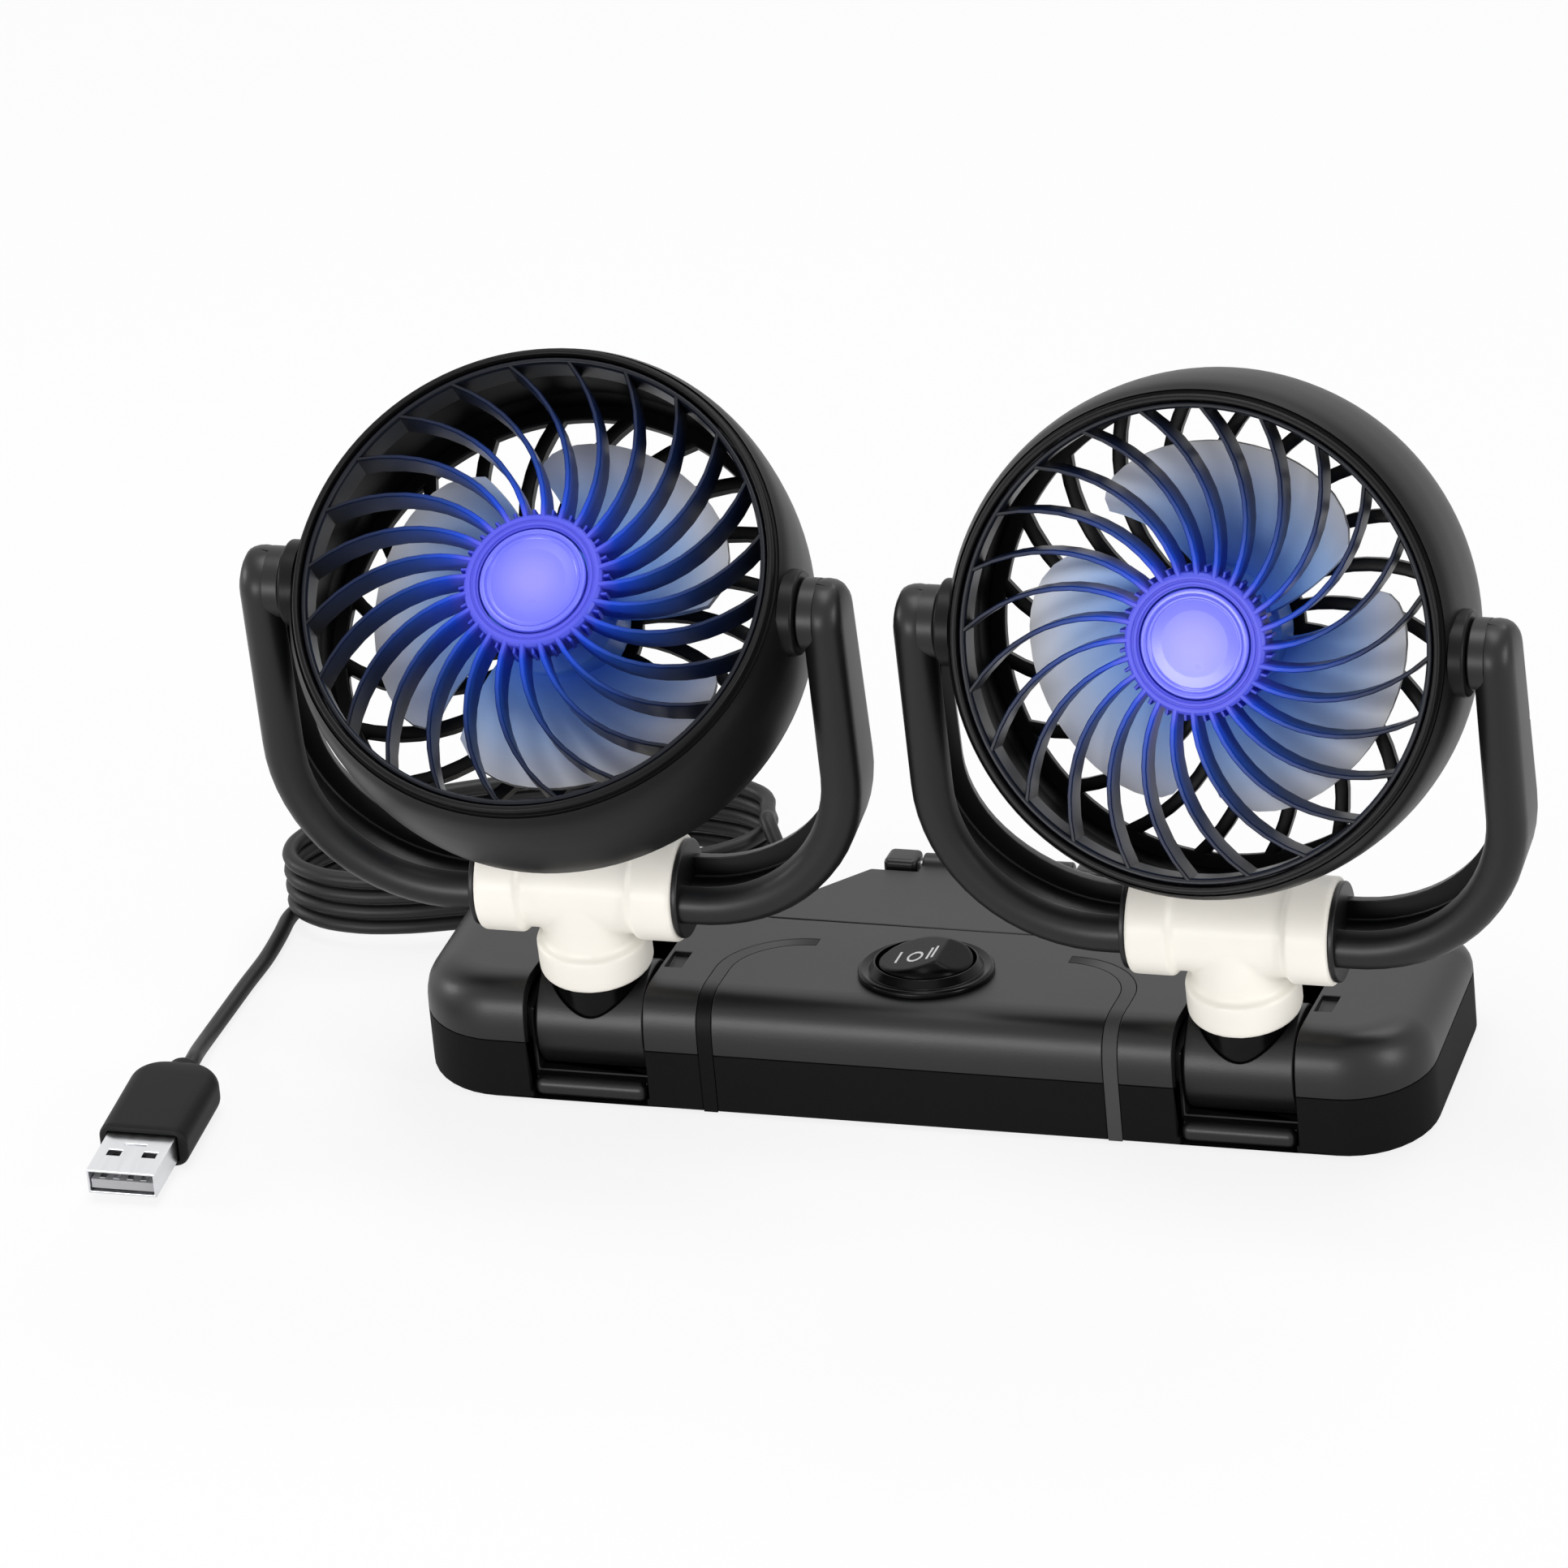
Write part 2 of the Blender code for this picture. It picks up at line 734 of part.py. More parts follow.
def make_switch(axis):
    bottom = -switch_barrel_depth
    profile = [
        (0, -switch_cup_depth), (switch_bore_radius, -switch_cup_depth), (switch_bore_radius, bezel_collar_height),
        (bezel_collar_radius, bezel_collar_height - gap), (bezel_collar_radius, bezel_thickness),
        (bezel_radius - gap, bezel_thickness), (bezel_radius, bezel_thickness / 2), (bezel_radius, gap),
        (switch_barrel_radius, gap), (switch_barrel_radius, bottom), (0, bottom),
    ]
    housing = turned("switch_housing", profile, None, gloss_black, steps=round_steps)
    seat_on_top(housing)
    outline = [
        (-rocker_radius * 2, rocker_bottom - overrun), (rocker_radius * 2, rocker_bottom - overrun),
        (rocker_radius * 2, rocker_bottom), (rocker_radius, rocker_low),
        (rocker_ridge_x, rocker_high), (-rocker_radius, rocker_low),
        (-rocker_radius * 2, rocker_bottom),
    ]
    body = flat_outline("rocker_wedge", [outline], -rocker_radius * 2, rocker_radius * 2, axis, keep=False,
                        turn=(math.pi / 2, 0, 0))
    rocker_profile = [
        (0, rocker_high + overrun), (rocker_top_radius, rocker_high + overrun), (rocker_radius, rocker_shoulder),
        (rocker_radius, -rocker_shoulder), (rocker_foot_radius, rocker_bottom), (0, rocker_bottom),
    ]
    rocker = turned("switch_rocker", rocker_profile, axis, gloss_black, steps=round_steps)
    keep_common(rocker, body)
    return housing, rocker


# Knuckle, swivel post and tee

def make_cradle(label, middle):
    half = barrel_width / 2 + gap
    outer = half + cradle_wall
    low = base_floor + tray_floor + gap
    front = cradle_front
    cradle = block(f"{label}_knuckle_cradle", (-outer, front, low), (outer, cradle_rear, top_height(cradle_rear) - cradle_headroom),
                   None, satin_black, where=(middle, 0, 0))
    room = rod(f"{label}_cradle_room", barrel_radius + gap, -half, half, None, steps=20, keep=False,
               where=(middle, knuckle_y, knuckle_z), turn=(0, math.pi / 2, 0))
    cut(cradle, room)
    above = block(f"{label}_cradle_above", (-half, front - overrun, knuckle_z), (half, cradle_rear + overrun, base_height + overrun),
                  None, keep=False, where=(middle, 0, 0))
    cut(cradle, above)
    mouth = block(f"{label}_cradle_mouth", (-half, front - overrun, cradle_ledge), (half, knuckle_y, base_height + overrun),
                  None, keep=False, where=(middle, 0, 0))
    cut(cradle, mouth)
    ledge = block(f"{label}_cradle_ledge", (-half, -base_depth / 2 + gap, low), (half, front + ledge_depth, cradle_ledge),
                  None, keep=False, where=(middle, 0, 0), bevel=ledge_depth / 4, bevel_steps=1)
    join(cradle, ledge)
    bore = rod(f"{label}_cradle_bore", pin_radius + gap, -outer - overrun, outer + overrun, None, steps=12, keep=False,
               where=(middle, knuckle_y, knuckle_z), turn=(0, math.pi / 2, 0))
    cut(cradle, bore)
    rod(f"{label}_knuckle_pin", pin_radius, -pin_length / 2, pin_length / 2, None, steel, steps=12,
        where=(middle, knuckle_y, knuckle_z), turn=(0, math.pi / 2, 0))
    return cradle


def make_barrel(label, axis):
    half = barrel_width / 2
    barrel = rod(f"{label}_knuckle_barrel", barrel_radius, -half, half, axis, satin_black, steps=round_steps,
                 turn=(0, math.pi / 2, 0))
    socket = rod(f"{label}_barrel_socket", post_radius + gap, post_bottom - gap, barrel_radius + overrun, axis,
                 steps=20, keep=False)
    cut(barrel, socket)
    bore = rod(f"{label}_barrel_bore", pin_radius + gap, -half - overrun, half + overrun, axis, steps=12, keep=False,
               turn=(0, math.pi / 2, 0))
    cut(barrel, bore)
    return barrel


def make_post(label, axis):
    profile = [
        (0, post_top), (post_top_radius, post_top), (post_top_radius, post_shoulder),
        (post_radius, post_shoulder), (post_radius, post_bottom), (0, post_bottom),
    ]
    return turned(f"{label}_swivel_post", profile, axis, satin_black, steps=20)


def make_tee(label, axis):
    end = tee_half_length
    collar = end - tee_end_length
    run = [
        (0, end), (tee_end_radius - tee_edge, end), (tee_end_radius, end - tee_edge), (tee_end_radius, collar),
        (tee_tube_radius, collar - tee_edge), (tee_tube_radius, tee_edge - collar), (tee_end_radius, -collar),
        (tee_end_radius, tee_edge - end), (tee_end_radius - tee_edge, -end), (0, -end),
    ]
    tee = turned(f"{label}_tee", run, axis, cream_plastic, steps=20, where=(0, 0, tee_axis), turn=(0, math.pi / 2, 0))
    top = tee_stem_bottom + tee_stem_collar_length
    stem_profile = [
        (0, tee_axis - gap), (tee_stem_radius, tee_axis - gap), (tee_stem_radius, top + tee_edge),
        (tee_stem_collar_radius, top - tee_edge), (tee_stem_collar_radius, tee_stem_bottom + tee_edge),
        (tee_stem_collar_radius - tee_edge, tee_stem_bottom), (0, tee_stem_bottom),
    ]
    stem = turned(f"{label}_tee_stem", stem_profile, axis, steps=20, keep=False)
    join(tee, stem)
    bore = rod(f"{label}_tee_bore", tee_bore_radius + gap, -end - overrun, end + overrun, axis, steps=20, keep=False,
               where=(0, 0, tee_axis), turn=(0, math.pi / 2, 0))
    cut(tee, bore)
    socket_profile = [
        (0, tee_axis), (post_top_radius + gap, tee_axis), (post_top_radius + gap, post_shoulder + gap),
        (post_radius + gap, post_shoulder + gap), (post_radius + gap, tee_stem_bottom - overrun),
        (0, tee_stem_bottom - overrun),
    ]
    socket = turned(f"{label}_tee_socket", socket_profile, axis, steps=20, keep=False)
    cut(tee, socket)
    return tee


# Yoke arms

def arm_section(half_depth, channel, shrink=1.0):
    # The arm's section: flat outside, a rounded bar at the front and back, a channel between them.
    # Each pair is how far out the point lies and how deep, from the arm's middle line.
    half = arm_thickness / 2 * shrink
    inner = -half + channel
    depth = half_depth
    round_off = min(half * arm_round_share, depth * arm_round_share)
    lip = min(max(depth - arm_bar_depth, depth * arm_round_share), (depth - round_off) * arm_lip_share)
    floor = lip * arm_lip_share
    return [
        (half, round_off - depth), (half, depth - round_off), (half - round_off, depth), (round_off - half, depth),
        (-half, depth - round_off), (-half, lip), (inner, floor), (inner, -floor), (-half, -lip),
        (-half, round_off - depth), (round_off - half, -depth), (half - round_off, -depth),
    ]


def arm_rings(side):
    # Rings of points along the arm: out of the tee, round the bend, up, and over the domed tip.
    start_x = tee_half_length + gap
    bend_x = arm_middle - arm_bend_radius
    bend_z = tee_axis + arm_bend_radius
    rings = []

    def ring(x, z, out_x, out_z, half_depth, channel, shrink=1.0):
        rings.append([
            (side * (x + out_x * out), deep, z + out_z * out)
            for out, deep in arm_section(half_depth, channel, shrink)
        ])

    ring(start_x, tee_axis, 0, -1, arm_root_half_depth, arm_channel)
    for i in range(arm_bend_rings + 1):
        angle = math.pi / 2 * i / arm_bend_rings
        out_x, out_z = math.sin(angle), -math.cos(angle)
        swell = math.sin(angle * 2)
        half_depth = arm_root_half_depth + (arm_bend_half_depth - arm_root_half_depth) * swell
        half_depth -= (arm_root_half_depth - arm_tip_half_depth) * (angle / math.pi)
        ring(bend_x + arm_bend_radius * out_x, bend_z + arm_bend_radius * out_z, out_x, out_z, half_depth, arm_channel)
    middle_half_depth = (arm_root_half_depth + arm_tip_half_depth) / 2
    tip_start = pivot_height
    for i in range(1, arm_straight_rings + 1):
        share = i / arm_straight_rings
        half_depth = middle_half_depth + (arm_tip_half_depth - middle_half_depth) * share
        ring(arm_middle, bend_z + (tip_start - bend_z) * share, 1, 0, half_depth, arm_channel * (1 - share))
    for i in range(1, arm_tip_rings + 1):
        angle = math.radians(78) * i / arm_tip_rings
        ring(arm_middle, tip_start + arm_tip_half_depth * math.sin(angle), 1, 0,
             arm_tip_half_depth * math.cos(angle), 0, math.cos(angle) ** 0.5)
    return rings


def make_arm(label, side, name, axis):
    arm = loft(f"{label}_yoke_arm_{name}", arm_rings(side), axis, satin_black)
    spigot = rod(f"{label}_arm_spigot_{name}", tee_bore_radius, tee_half_length - arm_spigot_length,
                 tee_half_length + arm_spigot_seat, axis, steps=20, keep=False,
                 where=(0, 0, tee_axis), turn=(0, side * math.pi / 2, 0))
    join(arm, spigot)
    inner_face = arm_middle - arm_thickness / 2
    boss = rod(f"{label}_arm_boss_{name}", arm_boss_radius, inner_face - arm_boss_reach, arm_middle, axis, steps=small_steps,
               keep=False, where=(0, 0, pivot_height), turn=(0, side * math.pi / 2, 0))
    join(arm, boss)
    bore = rod(f"{label}_arm_bore_{name}", tilt_pin_radius + gap, inner_face - overrun,
               inner_face - arm_boss_reach + tilt_pin_bore_depth, axis, steps=12, keep=False,
               where=(0, 0, pivot_height), turn=(0, side * math.pi / 2, 0))
    cut(arm, bore)
    rod(f"{label}_tilt_pin_{name}", tilt_pin_radius, housing_boss_reach - tilt_pin_housing_depth + gap,
        inner_face - arm_boss_reach + tilt_pin_bore_depth - gap, axis, steel, steps=12,
        where=(0, 0, pivot_height), turn=(0, side * math.pi / 2, 0))
    return arm


# Fan head

def make_housing(label, axis):
    inner = rim_radius - rim_lip
    wall_inner = housing_radius - housing_wall
    profile = [
        (inner, rim_front), (rim_radius, rim_front), (housing_radius - housing_wall / 2, rim_front / 2),
        (housing_radius, 0), (housing_radius, housing_rear * 2 / 3),
        (housing_rear_radius, housing_rear), (housing_rear_radius - housing_wall, housing_rear),
        (wall_inner, housing_rear * 2 / 3), (wall_inner, 0), (inner, rim_front / 2 - housing_wall / 2),
    ]
    housing = turned(f"{label}_head_housing", profile, axis, satin_black, steps=36, closed=True)
    for name, side in (("left", -1), ("right", 1)):
        boss = rod(f"{label}_housing_boss_{name}", housing_boss_radius, housing_radius - housing_wall, housing_boss_reach,
                   axis, keep=False, turn=(0, side * math.pi / 2, 0))
        join(housing, boss)
    for name, side in (("left", -1), ("right", 1)):
        bore = rod(f"{label}_housing_bore_{name}", tilt_pin_radius + gap, housing_boss_reach - tilt_pin_housing_depth,
                   housing_boss_reach + overrun, axis, steps=12, keep=False, turn=(0, side * math.pi / 2, 0))
        cut(housing, bore)
    return housing


def spiral_holes(count, inner_radius, outer_radius, width, sweep, side_points):
    # The openings between neighbouring bars, each bar a spiral of even width from hub to ring.
    holes = []
    for number in range(count):
        start = math.tau * number / count
        end = math.tau * (number + 1) / count
        outline = []
        for edge, base, sign in ((0, start, 1), (1, end, -1)):
            run = range(side_points + 1) if edge == 0 else reversed(range(side_points + 1))
            for i in run:
                share = i / side_points
                radius = inner_radius + (outer_radius - inner_radius) * share
                bar = width * (vane_root_width_share + (1 - vane_root_width_share) * share)
                angle = base + sweep * share ** 1.3 + sign * bar / 2 / radius
                outline.append((radius * math.cos(angle), radius * math.sin(angle)))
        holes.append(outline)
    return holes


def full_circle(radius, count):
    return arc_points(radius, 0, math.tau * (count - 1) / count, count - 1)


def make_front_grille(label, axis):
    outer = rim_radius - rim_lip - gap
    inner = outer - grille_ring_width
    top = rim_front - grille_recess
    holes = spiral_holes(vane_count, hub_radius, inner, vane_width, vane_sweep, vane_points)
    grille = flat_outline(f"{label}_front_grille", [full_circle(outer, vane_count * 2)] + holes,
                          top - grille_depth, top, axis, deep_blue_black)
    recess = rod(f"{label}_cap_recess", cap_radius + gap, top - cap_thickness - gap, top + overrun, axis, steps=20,
                 keep=False)
    cut(grille, recess)
    relief = turned(f"{label}_hub_hollow", [
        (0, top - cap_thickness * 2), (hub_radius - housing_wall, top - cap_thickness * 2),
        (hub_radius - housing_wall, top - grille_depth - overrun), (0, top - grille_depth - overrun)],
        axis, steps=12, keep=False)
    cut(grille, relief)
    edge = cap_thickness / 4
    turned(f"{label}_hub_cap", [
        (0, top), (cap_radius - edge, top), (cap_radius, top - edge), (cap_radius, top - cap_thickness),
        (0, top - cap_thickness)], axis, hub_blue, steps=20)
    return grille


def make_rear_grille(label, axis):
    outer = housing_rear_radius - housing_wall - gap
    inner = outer - rear_ring_width
    low = housing_rear + gap
    high = low + rear_grille_depth
    holes = spiral_holes(rear_bar_count, rear_hub_radius, inner, rear_bar_width, rear_bar_sweep, vane_points - 1)
    grille = flat_outline(f"{label}_rear_grille", [full_circle(outer, rear_bar_count * 2)] + holes, low, high, axis,
                          satin_black)
    bore = rod(f"{label}_rear_bore", motor_boss_radius + gap, low - overrun, high + overrun, axis, steps=12, keep=False)
    cut(grille, bore)
    return grille


def blade_point(u, v):
    # Blade surface: u runs from the hub to the tip, v across the blade from its leading edge.
    radius = impeller_radius - impeller_wall / 2 + (blade_tip_radius - impeller_radius + impeller_wall / 2) * u
    span = blade_root_span + (blade_tip_span - blade_root_span) * u
    round_off = 1 - 0.16 * u * u * (2 * v - 1) ** 2
    rise = blade_root_rise + (blade_tip_rise - blade_root_rise) * u
    angle = blade_sweep * u + span * (v - 0.5)
    reach = radius * (round_off if u > 0 else 1)
    return Vector((reach * math.cos(angle), reach * math.sin(angle), rise * (0.5 - v)))


def make_impeller(label, axis, blade_turn):
    front = impeller_front
    hub_profile = [
        (0, front), (impeller_radius - impeller_wall * 2, front), (impeller_radius, front - impeller_wall * 2),
        (impeller_radius, impeller_rear), (impeller_radius - impeller_wall, impeller_rear),
        (impeller_radius - impeller_wall, front - impeller_wall * 2), (impeller_nose_radius, front - impeller_wall * 2),
        (impeller_nose_radius, motor_front + gap), (0, motor_front + gap),
    ]
    impeller = turned(f"{label}_impeller", hub_profile, axis, blade_grey, steps=20)
    for number in range(blade_count):
        mesh = bpy.data.meshes.new(f"{label}_blade_{number + 1}")
        shape = bmesh.new()
        bmesh.ops.create_grid(shape, x_segments=blade_cells - 1, y_segments=blade_cells, size=0.5)
        for vertex in shape.verts:
            vertex.co = blade_point(vertex.co.x + 0.5, vertex.co.y + 0.5)
        shape.to_mesh(mesh)
        shape.free()
        blade = place(mesh.name, mesh, axis, keep=False, where=(0, 0, impeller_middle),
                      turn=(0, 0, blade_turn + math.tau * number / blade_count))
        wall = blade.modifiers.new("thickness", "SOLIDIFY")
        wall.thickness = blade_thickness
        wall.offset = 0
        join(impeller, blade)
    bore = rod(f"{label}_hub_bore", shaft_radius + gap, motor_front - overrun, front - impeller_wall, axis, steps=10,
               keep=False)
    cut(impeller, bore)
    return impeller


def make_motor(label, axis, spin_axis):
    seat = housing_rear + gap + rear_grille_depth + gap
    profile = [
        (shaft_radius + gap, motor_front), (motor_radius - motor_edge, motor_front),
        (motor_radius, motor_front - motor_edge), (motor_radius, seat), (motor_boss_radius, seat),
        (motor_boss_radius, seat - motor_boss_length), (shaft_radius + gap, seat - motor_boss_length),
    ]
    motor = turned(f"{label}_motor", profile, axis, steel, steps=20, closed=True)
    rod(f"{label}_motor_shaft", shaft_radius, seat - motor_boss_length + gap, impeller_front - impeller_wall - gap,
        spin_axis, steel, steps=10)
    return motor


# Lead

def coil_point(angle, height):
    x = coil_long_radius * math.cos(angle)
    turn = angle % math.tau
    bump = coil_bump * math.exp(-(((turn - coil_bump_middle) / coil_bump_spread) ** 2))
    y = coil_short_radius * math.sin(angle) + coil_skew * x + bump
    return Vector((coil_centre_x + x, coil_centre_y + y, height))


def coil_points():
    # One unbroken run from the top of the stack down to the surface, a turn's height each round.
    count = round(coil_turns * coil_points_per_turn)
    lowest = cable_diameter / 2 + cable_lift
    points = []
    for i in range(count + 1):
        angle = math.tau * i / coil_points_per_turn
        height = lowest + coil_pitch * (count - i) / coil_points_per_turn
        points.append(coil_point(angle, height))
    first = (points[1] - points[0]).normalized() * cable_diameter
    last = (points[-1] - points[-2]).normalized() * cable_diameter
    first.z = 0
    last.z = 0
    return [points[0] - first] + points + [points[-1] + last]


def least_coil_gap(points):
    # Distance between the tube and itself on points, leaving out those that follow each other.
    spare = coil_points_per_turn // 2
    nearest = min(
        (points[i] - points[j]).length
        for i in range(len(points)) for j in range(i + spare, len(points))
    )
    return nearest - cable_diameter


def smooth_route(route, spacing):
    # Points at an even spacing on a smooth curve through the route's points. Its first and last stretch,
    # where the cord meets another piece square on, stay straight.
    points = [Vector(point) for point in route]
    head, tail = points[1] - points[0], points[-1] - points[-2]
    inner = points[1:-1]
    before_first = inner[1] - head.normalized() * (inner[1] - inner[0]).length * 2
    after_last = inner[-2] + tail.normalized() * (inner[-1] - inner[-2]).length * 2
    ends = [before_first] + inner + [after_last]
    fine = []
    for before, start, end, after in zip(ends, ends[1:], ends[2:], ends[3:]):
        for i in range(route_steps):
            t = i / route_steps
            fine.append((start * 2 + (end - before) * t + (before * 2 - start * 5 + end * 4 - after) * t * t
                         + (start * 3 - before - end * 3 + after) * t ** 3) / 2)
    fine.append(inner[-1])
    total = sum((b - a).length for a, b in zip(fine, fine[1:]))
    count = max(2, round(total / spacing))
    even = [fine[0]]
    walked = 0
    for a, b in zip(fine, fine[1:]):
        step = (b - a).length
        while len(even) < count and walked + step >= total * len(even) / count:
            share = (total * len(even) / count - walked) / step
            even.append(a.lerp(b, share))
        walked += step
    return [points[0]] + even + [fine[-1], points[-1]]


def tube(name, points, sides, look):
    curve = bpy.data.curves.new(name, "CURVE")
    curve.dimensions = "3D"
    curve.bevel_depth = cable_diameter / 2
    curve.bevel_resolution = sides
    curve.use_fill_caps = True
    curve.resolution_u = 1
    spline = curve.splines.new("POLY")
    spline.points.add(len(points) - 1)
    for point, place_at in zip(spline.points, points):
        point.co = (*place_at, 1)
    curve.materials.append(look)
    item = bpy.data.objects.new(name, curve)
    parts.objects.link(item)
    return item


def make_lead():
    coil = coil_points()
    print(f"coil: least gap to itself {least_coil_gap(coil) * 1000:.2f} mm")
    tube("cable_coil", coil, 1, cable_black)
    rear = base_depth / 2
    tip = rear + relief_length
    start = coil[0] - (coil[1] - coil[0]).normalized() * gap
    into_coil = (coil[1] - coil[0]).normalized() * cable_diameter
    tail_route = [
        (relief_x, tip + gap, relief_z),
        (relief_x, tip + gap + cable_diameter, relief_z),
        start - into_coil,
        start,
    ]
    tube("cable_tail", smooth_route(tail_route, cable_diameter * 1.5), 2, cable_black)
    end = coil[-1] + (coil[-1] - coil[-2]).normalized() * gap
    out_of_coil = (coil[-1] - coil[-2]).normalized() * cable_diameter
    plug_rear = (plug_x, plug_y + gap, plug_axis_z())
    lead_route = [
        end, end + out_of_coil, *lead_places,
        (plug_x, plug_y + gap + cable_diameter, plug_axis_z()), plug_rear,
    ]
    tube("cable_lead", smooth_route(lead_route, cable_diameter * 2.2), 2, cable_black)
    profile = [
        (relief_tip_radius, relief_length), (relief_radius, relief_flange + relief_flange / 2),
        (relief_flange_radius, relief_flange), (relief_flange_radius, gap), (relief_radius, gap),
        (relief_radius, -base_wall), (0, -base_wall),
    ]
    turned("cable_strain_relief", [(0, relief_length)] + profile, None, cable_black, steps=small_steps,
           where=(relief_x, rear, relief_z), turn=(-math.pi / 2, 0, 0))


lead_places = (
    (-0.1243, 0.0120, 0.0014),
    (-0.1254, 0.0030, 0.0014),
    (-0.1264, -0.0070, 0.0014),
    (-0.1268, -0.0150, 0.0017),
    (-0.1264, -0.0215, 0.0029),
)


def plug_axis_z():
    return plug_height / 2 + cable_lift


def make_plug():
    axis_z = plug_axis_z()
    front = plug_y - plug_nose_length
    low = (plug_x - plug_width / 2, front - plug_length, axis_z - plug_height / 2)
    high = (plug_x + plug_width / 2, front, axis_z + plug_height / 2)
    grip = block("usb_plug_grip", low, high, None, cable_black)
    add_bevel(grip, plug_corner, 3)
    nose = rod("plug_nose", plug_nose_radius, -plug_corner, plug_nose_length, None, keep=False,
               where=(plug_x, front, axis_z), turn=(-math.pi / 2, 0, 0))
    join(grip, nose)
    mouth = front - plug_length
    seat = block("plug_seat", (plug_x - shell_width / 2 - gap, mouth - overrun, axis_z - shell_height / 2 - gap),
                 (plug_x + shell_width / 2 + gap, mouth + shell_seat + gap, axis_z + shell_height / 2 + gap), None, keep=False)
    cut(grip, seat)
    rear = mouth + shell_seat
    tip = rear - shell_length
    shell = block("usb_plug_shell", (plug_x - shell_width / 2, tip, axis_z - shell_height / 2),
                  (plug_x + shell_width / 2, rear, axis_z + shell_height / 2), None, bright_steel)
    room = block("plug_shell_room",
                 (plug_x - shell_width / 2 + shell_wall, tip - overrun, axis_z - shell_height / 2 + shell_wall),
                 (plug_x + shell_width / 2 - shell_wall, rear - shell_wall, axis_z + shell_height / 2 - shell_wall),
                 None, keep=False)
    cut(shell, room)
    tongue_low = axis_z - shell_height / 2 + shell_wall + gap
    block("usb_plug_tongue",
          (plug_x - shell_width / 2 + shell_wall + gap, tip + tongue_setback, tongue_low),
          (plug_x + shell_width / 2 - shell_wall - gap, rear - shell_wall - gap, tongue_low + tongue_thickness), None,
          tongue_white)


# Assembly

def make_side(label, side, tilt, blade_turn):
    middle = side * head_spacing / 2
    make_cradle(label, middle)
    knuckle = axis_empty(f"{label}_knuckle_axis", (middle, knuckle_y, knuckle_z), (stem_lean, 0, 0))
    make_barrel(label, knuckle)
    make_post(label, knuckle)
    swivel = axis_empty(f"{label}_swivel_axis", (0, 0, 0), parent=knuckle)
    make_tee(label, swivel)
    make_arm(label, -1, "left", swivel)
    make_arm(label, 1, "right", swivel)
    head = axis_empty(f"{label}_tilt_axis", (0, 0, pivot_height), (math.pi / 2 - tilt - stem_lean, 0, 0), swivel)
    make_housing(label, head)
    make_front_grille(label, head)
    make_rear_grille(label, head)
    spin = axis_empty(f"{label}_spin_axis", (0, 0, 0), parent=head)
    make_impeller(label, spin, blade_turn)
    make_motor(label, head, spin)


def build():
    make_top_shell()
    make_tray()
    make_pad()
    make_screws()
    make_board()
    switch_axis = axis_empty("switch_axis", (switch_x, switch_y, top_height(switch_y)), (-base_top_slope, 0, 0))
    make_switch(switch_axis)
    make_flap(None)
    make_side("left", -1, left_head_tilt, left_blade_turn)
    make_side("right", 1, right_head_tilt, right_blade_turn)
    make_lead()
    make_plug()
    for item in parts.objects:
        smooth(item)


clear_scene()
parts = collection("dual_head_car_fan")
cutters = collection("cutters")
satin_black = material("satin_black", (0.012, 0.012, 0.013), 0.38)
matt_black = material("matt_black", (0.010, 0.010, 0.011), 0.60)
gloss_black = material("gloss_black", (0.008, 0.008, 0.009), 0.22)
deep_blue_black = material("deep_blue_black", (0.008, 0.016, 0.060), 0.35)
hub_blue = material("hub_blue", (0.09, 0.10, 0.75), 0.30)
blade_grey = material("blade_grey", (0.42, 0.44, 0.52), 0.40)
cream_plastic = material("cream_plastic", (0.86, 0.83, 0.76), 0.35)
rubber = material("rubber", (0.015, 0.015, 0.015), 0.85)
cable_black = material("cable_black", (0.012, 0.012, 0.012), 0.50)
steel = material("steel", (0.55, 0.55, 0.56), 0.35, 1.0)
bright_steel = material("bright_steel", (0.72, 0.73, 0.75), 0.22, 1.0)
board_green = material("board_green", (0.01, 0.10, 0.04), 0.50)
tongue_white = material("tongue_white", (0.75, 0.75, 0.74), 0.45)
build()
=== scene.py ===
# %% [markdown]
# # A dual head car fan
# Two small fans stand on one low base. Each head tilts in a fork, the fork and its white pipe tee swivel on
# a post, and the post folds on a knuckle in the base. The CAD model is loaded first, because every piece is
# made in its frame: metres, Z up, the front towards -Y, the origin under the base's middle.

# %% Load the frame
from math import atan2, cos, exp, pi, radians, sin, tan, tau

import bmesh
import bpy
from mathutils import Matrix, Vector


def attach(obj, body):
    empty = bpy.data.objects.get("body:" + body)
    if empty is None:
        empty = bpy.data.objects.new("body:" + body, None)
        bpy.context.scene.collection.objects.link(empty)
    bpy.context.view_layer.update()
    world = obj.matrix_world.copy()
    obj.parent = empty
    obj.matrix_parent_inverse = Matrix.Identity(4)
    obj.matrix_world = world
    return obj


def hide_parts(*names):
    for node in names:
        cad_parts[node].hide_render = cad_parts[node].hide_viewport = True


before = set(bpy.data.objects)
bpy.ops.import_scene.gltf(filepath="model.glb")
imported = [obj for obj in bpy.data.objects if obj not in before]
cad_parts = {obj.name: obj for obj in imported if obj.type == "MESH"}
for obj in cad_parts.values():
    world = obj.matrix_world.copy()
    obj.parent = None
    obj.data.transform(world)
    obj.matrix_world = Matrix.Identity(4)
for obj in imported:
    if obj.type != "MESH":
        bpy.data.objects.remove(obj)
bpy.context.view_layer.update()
mm = 0.001

# %% [markdown]
# ## Main places
# Some measures come back in many pieces, so they are named here, in millimetres. Three short functions move
# by millimetres, turn about an axis, and link a new object.

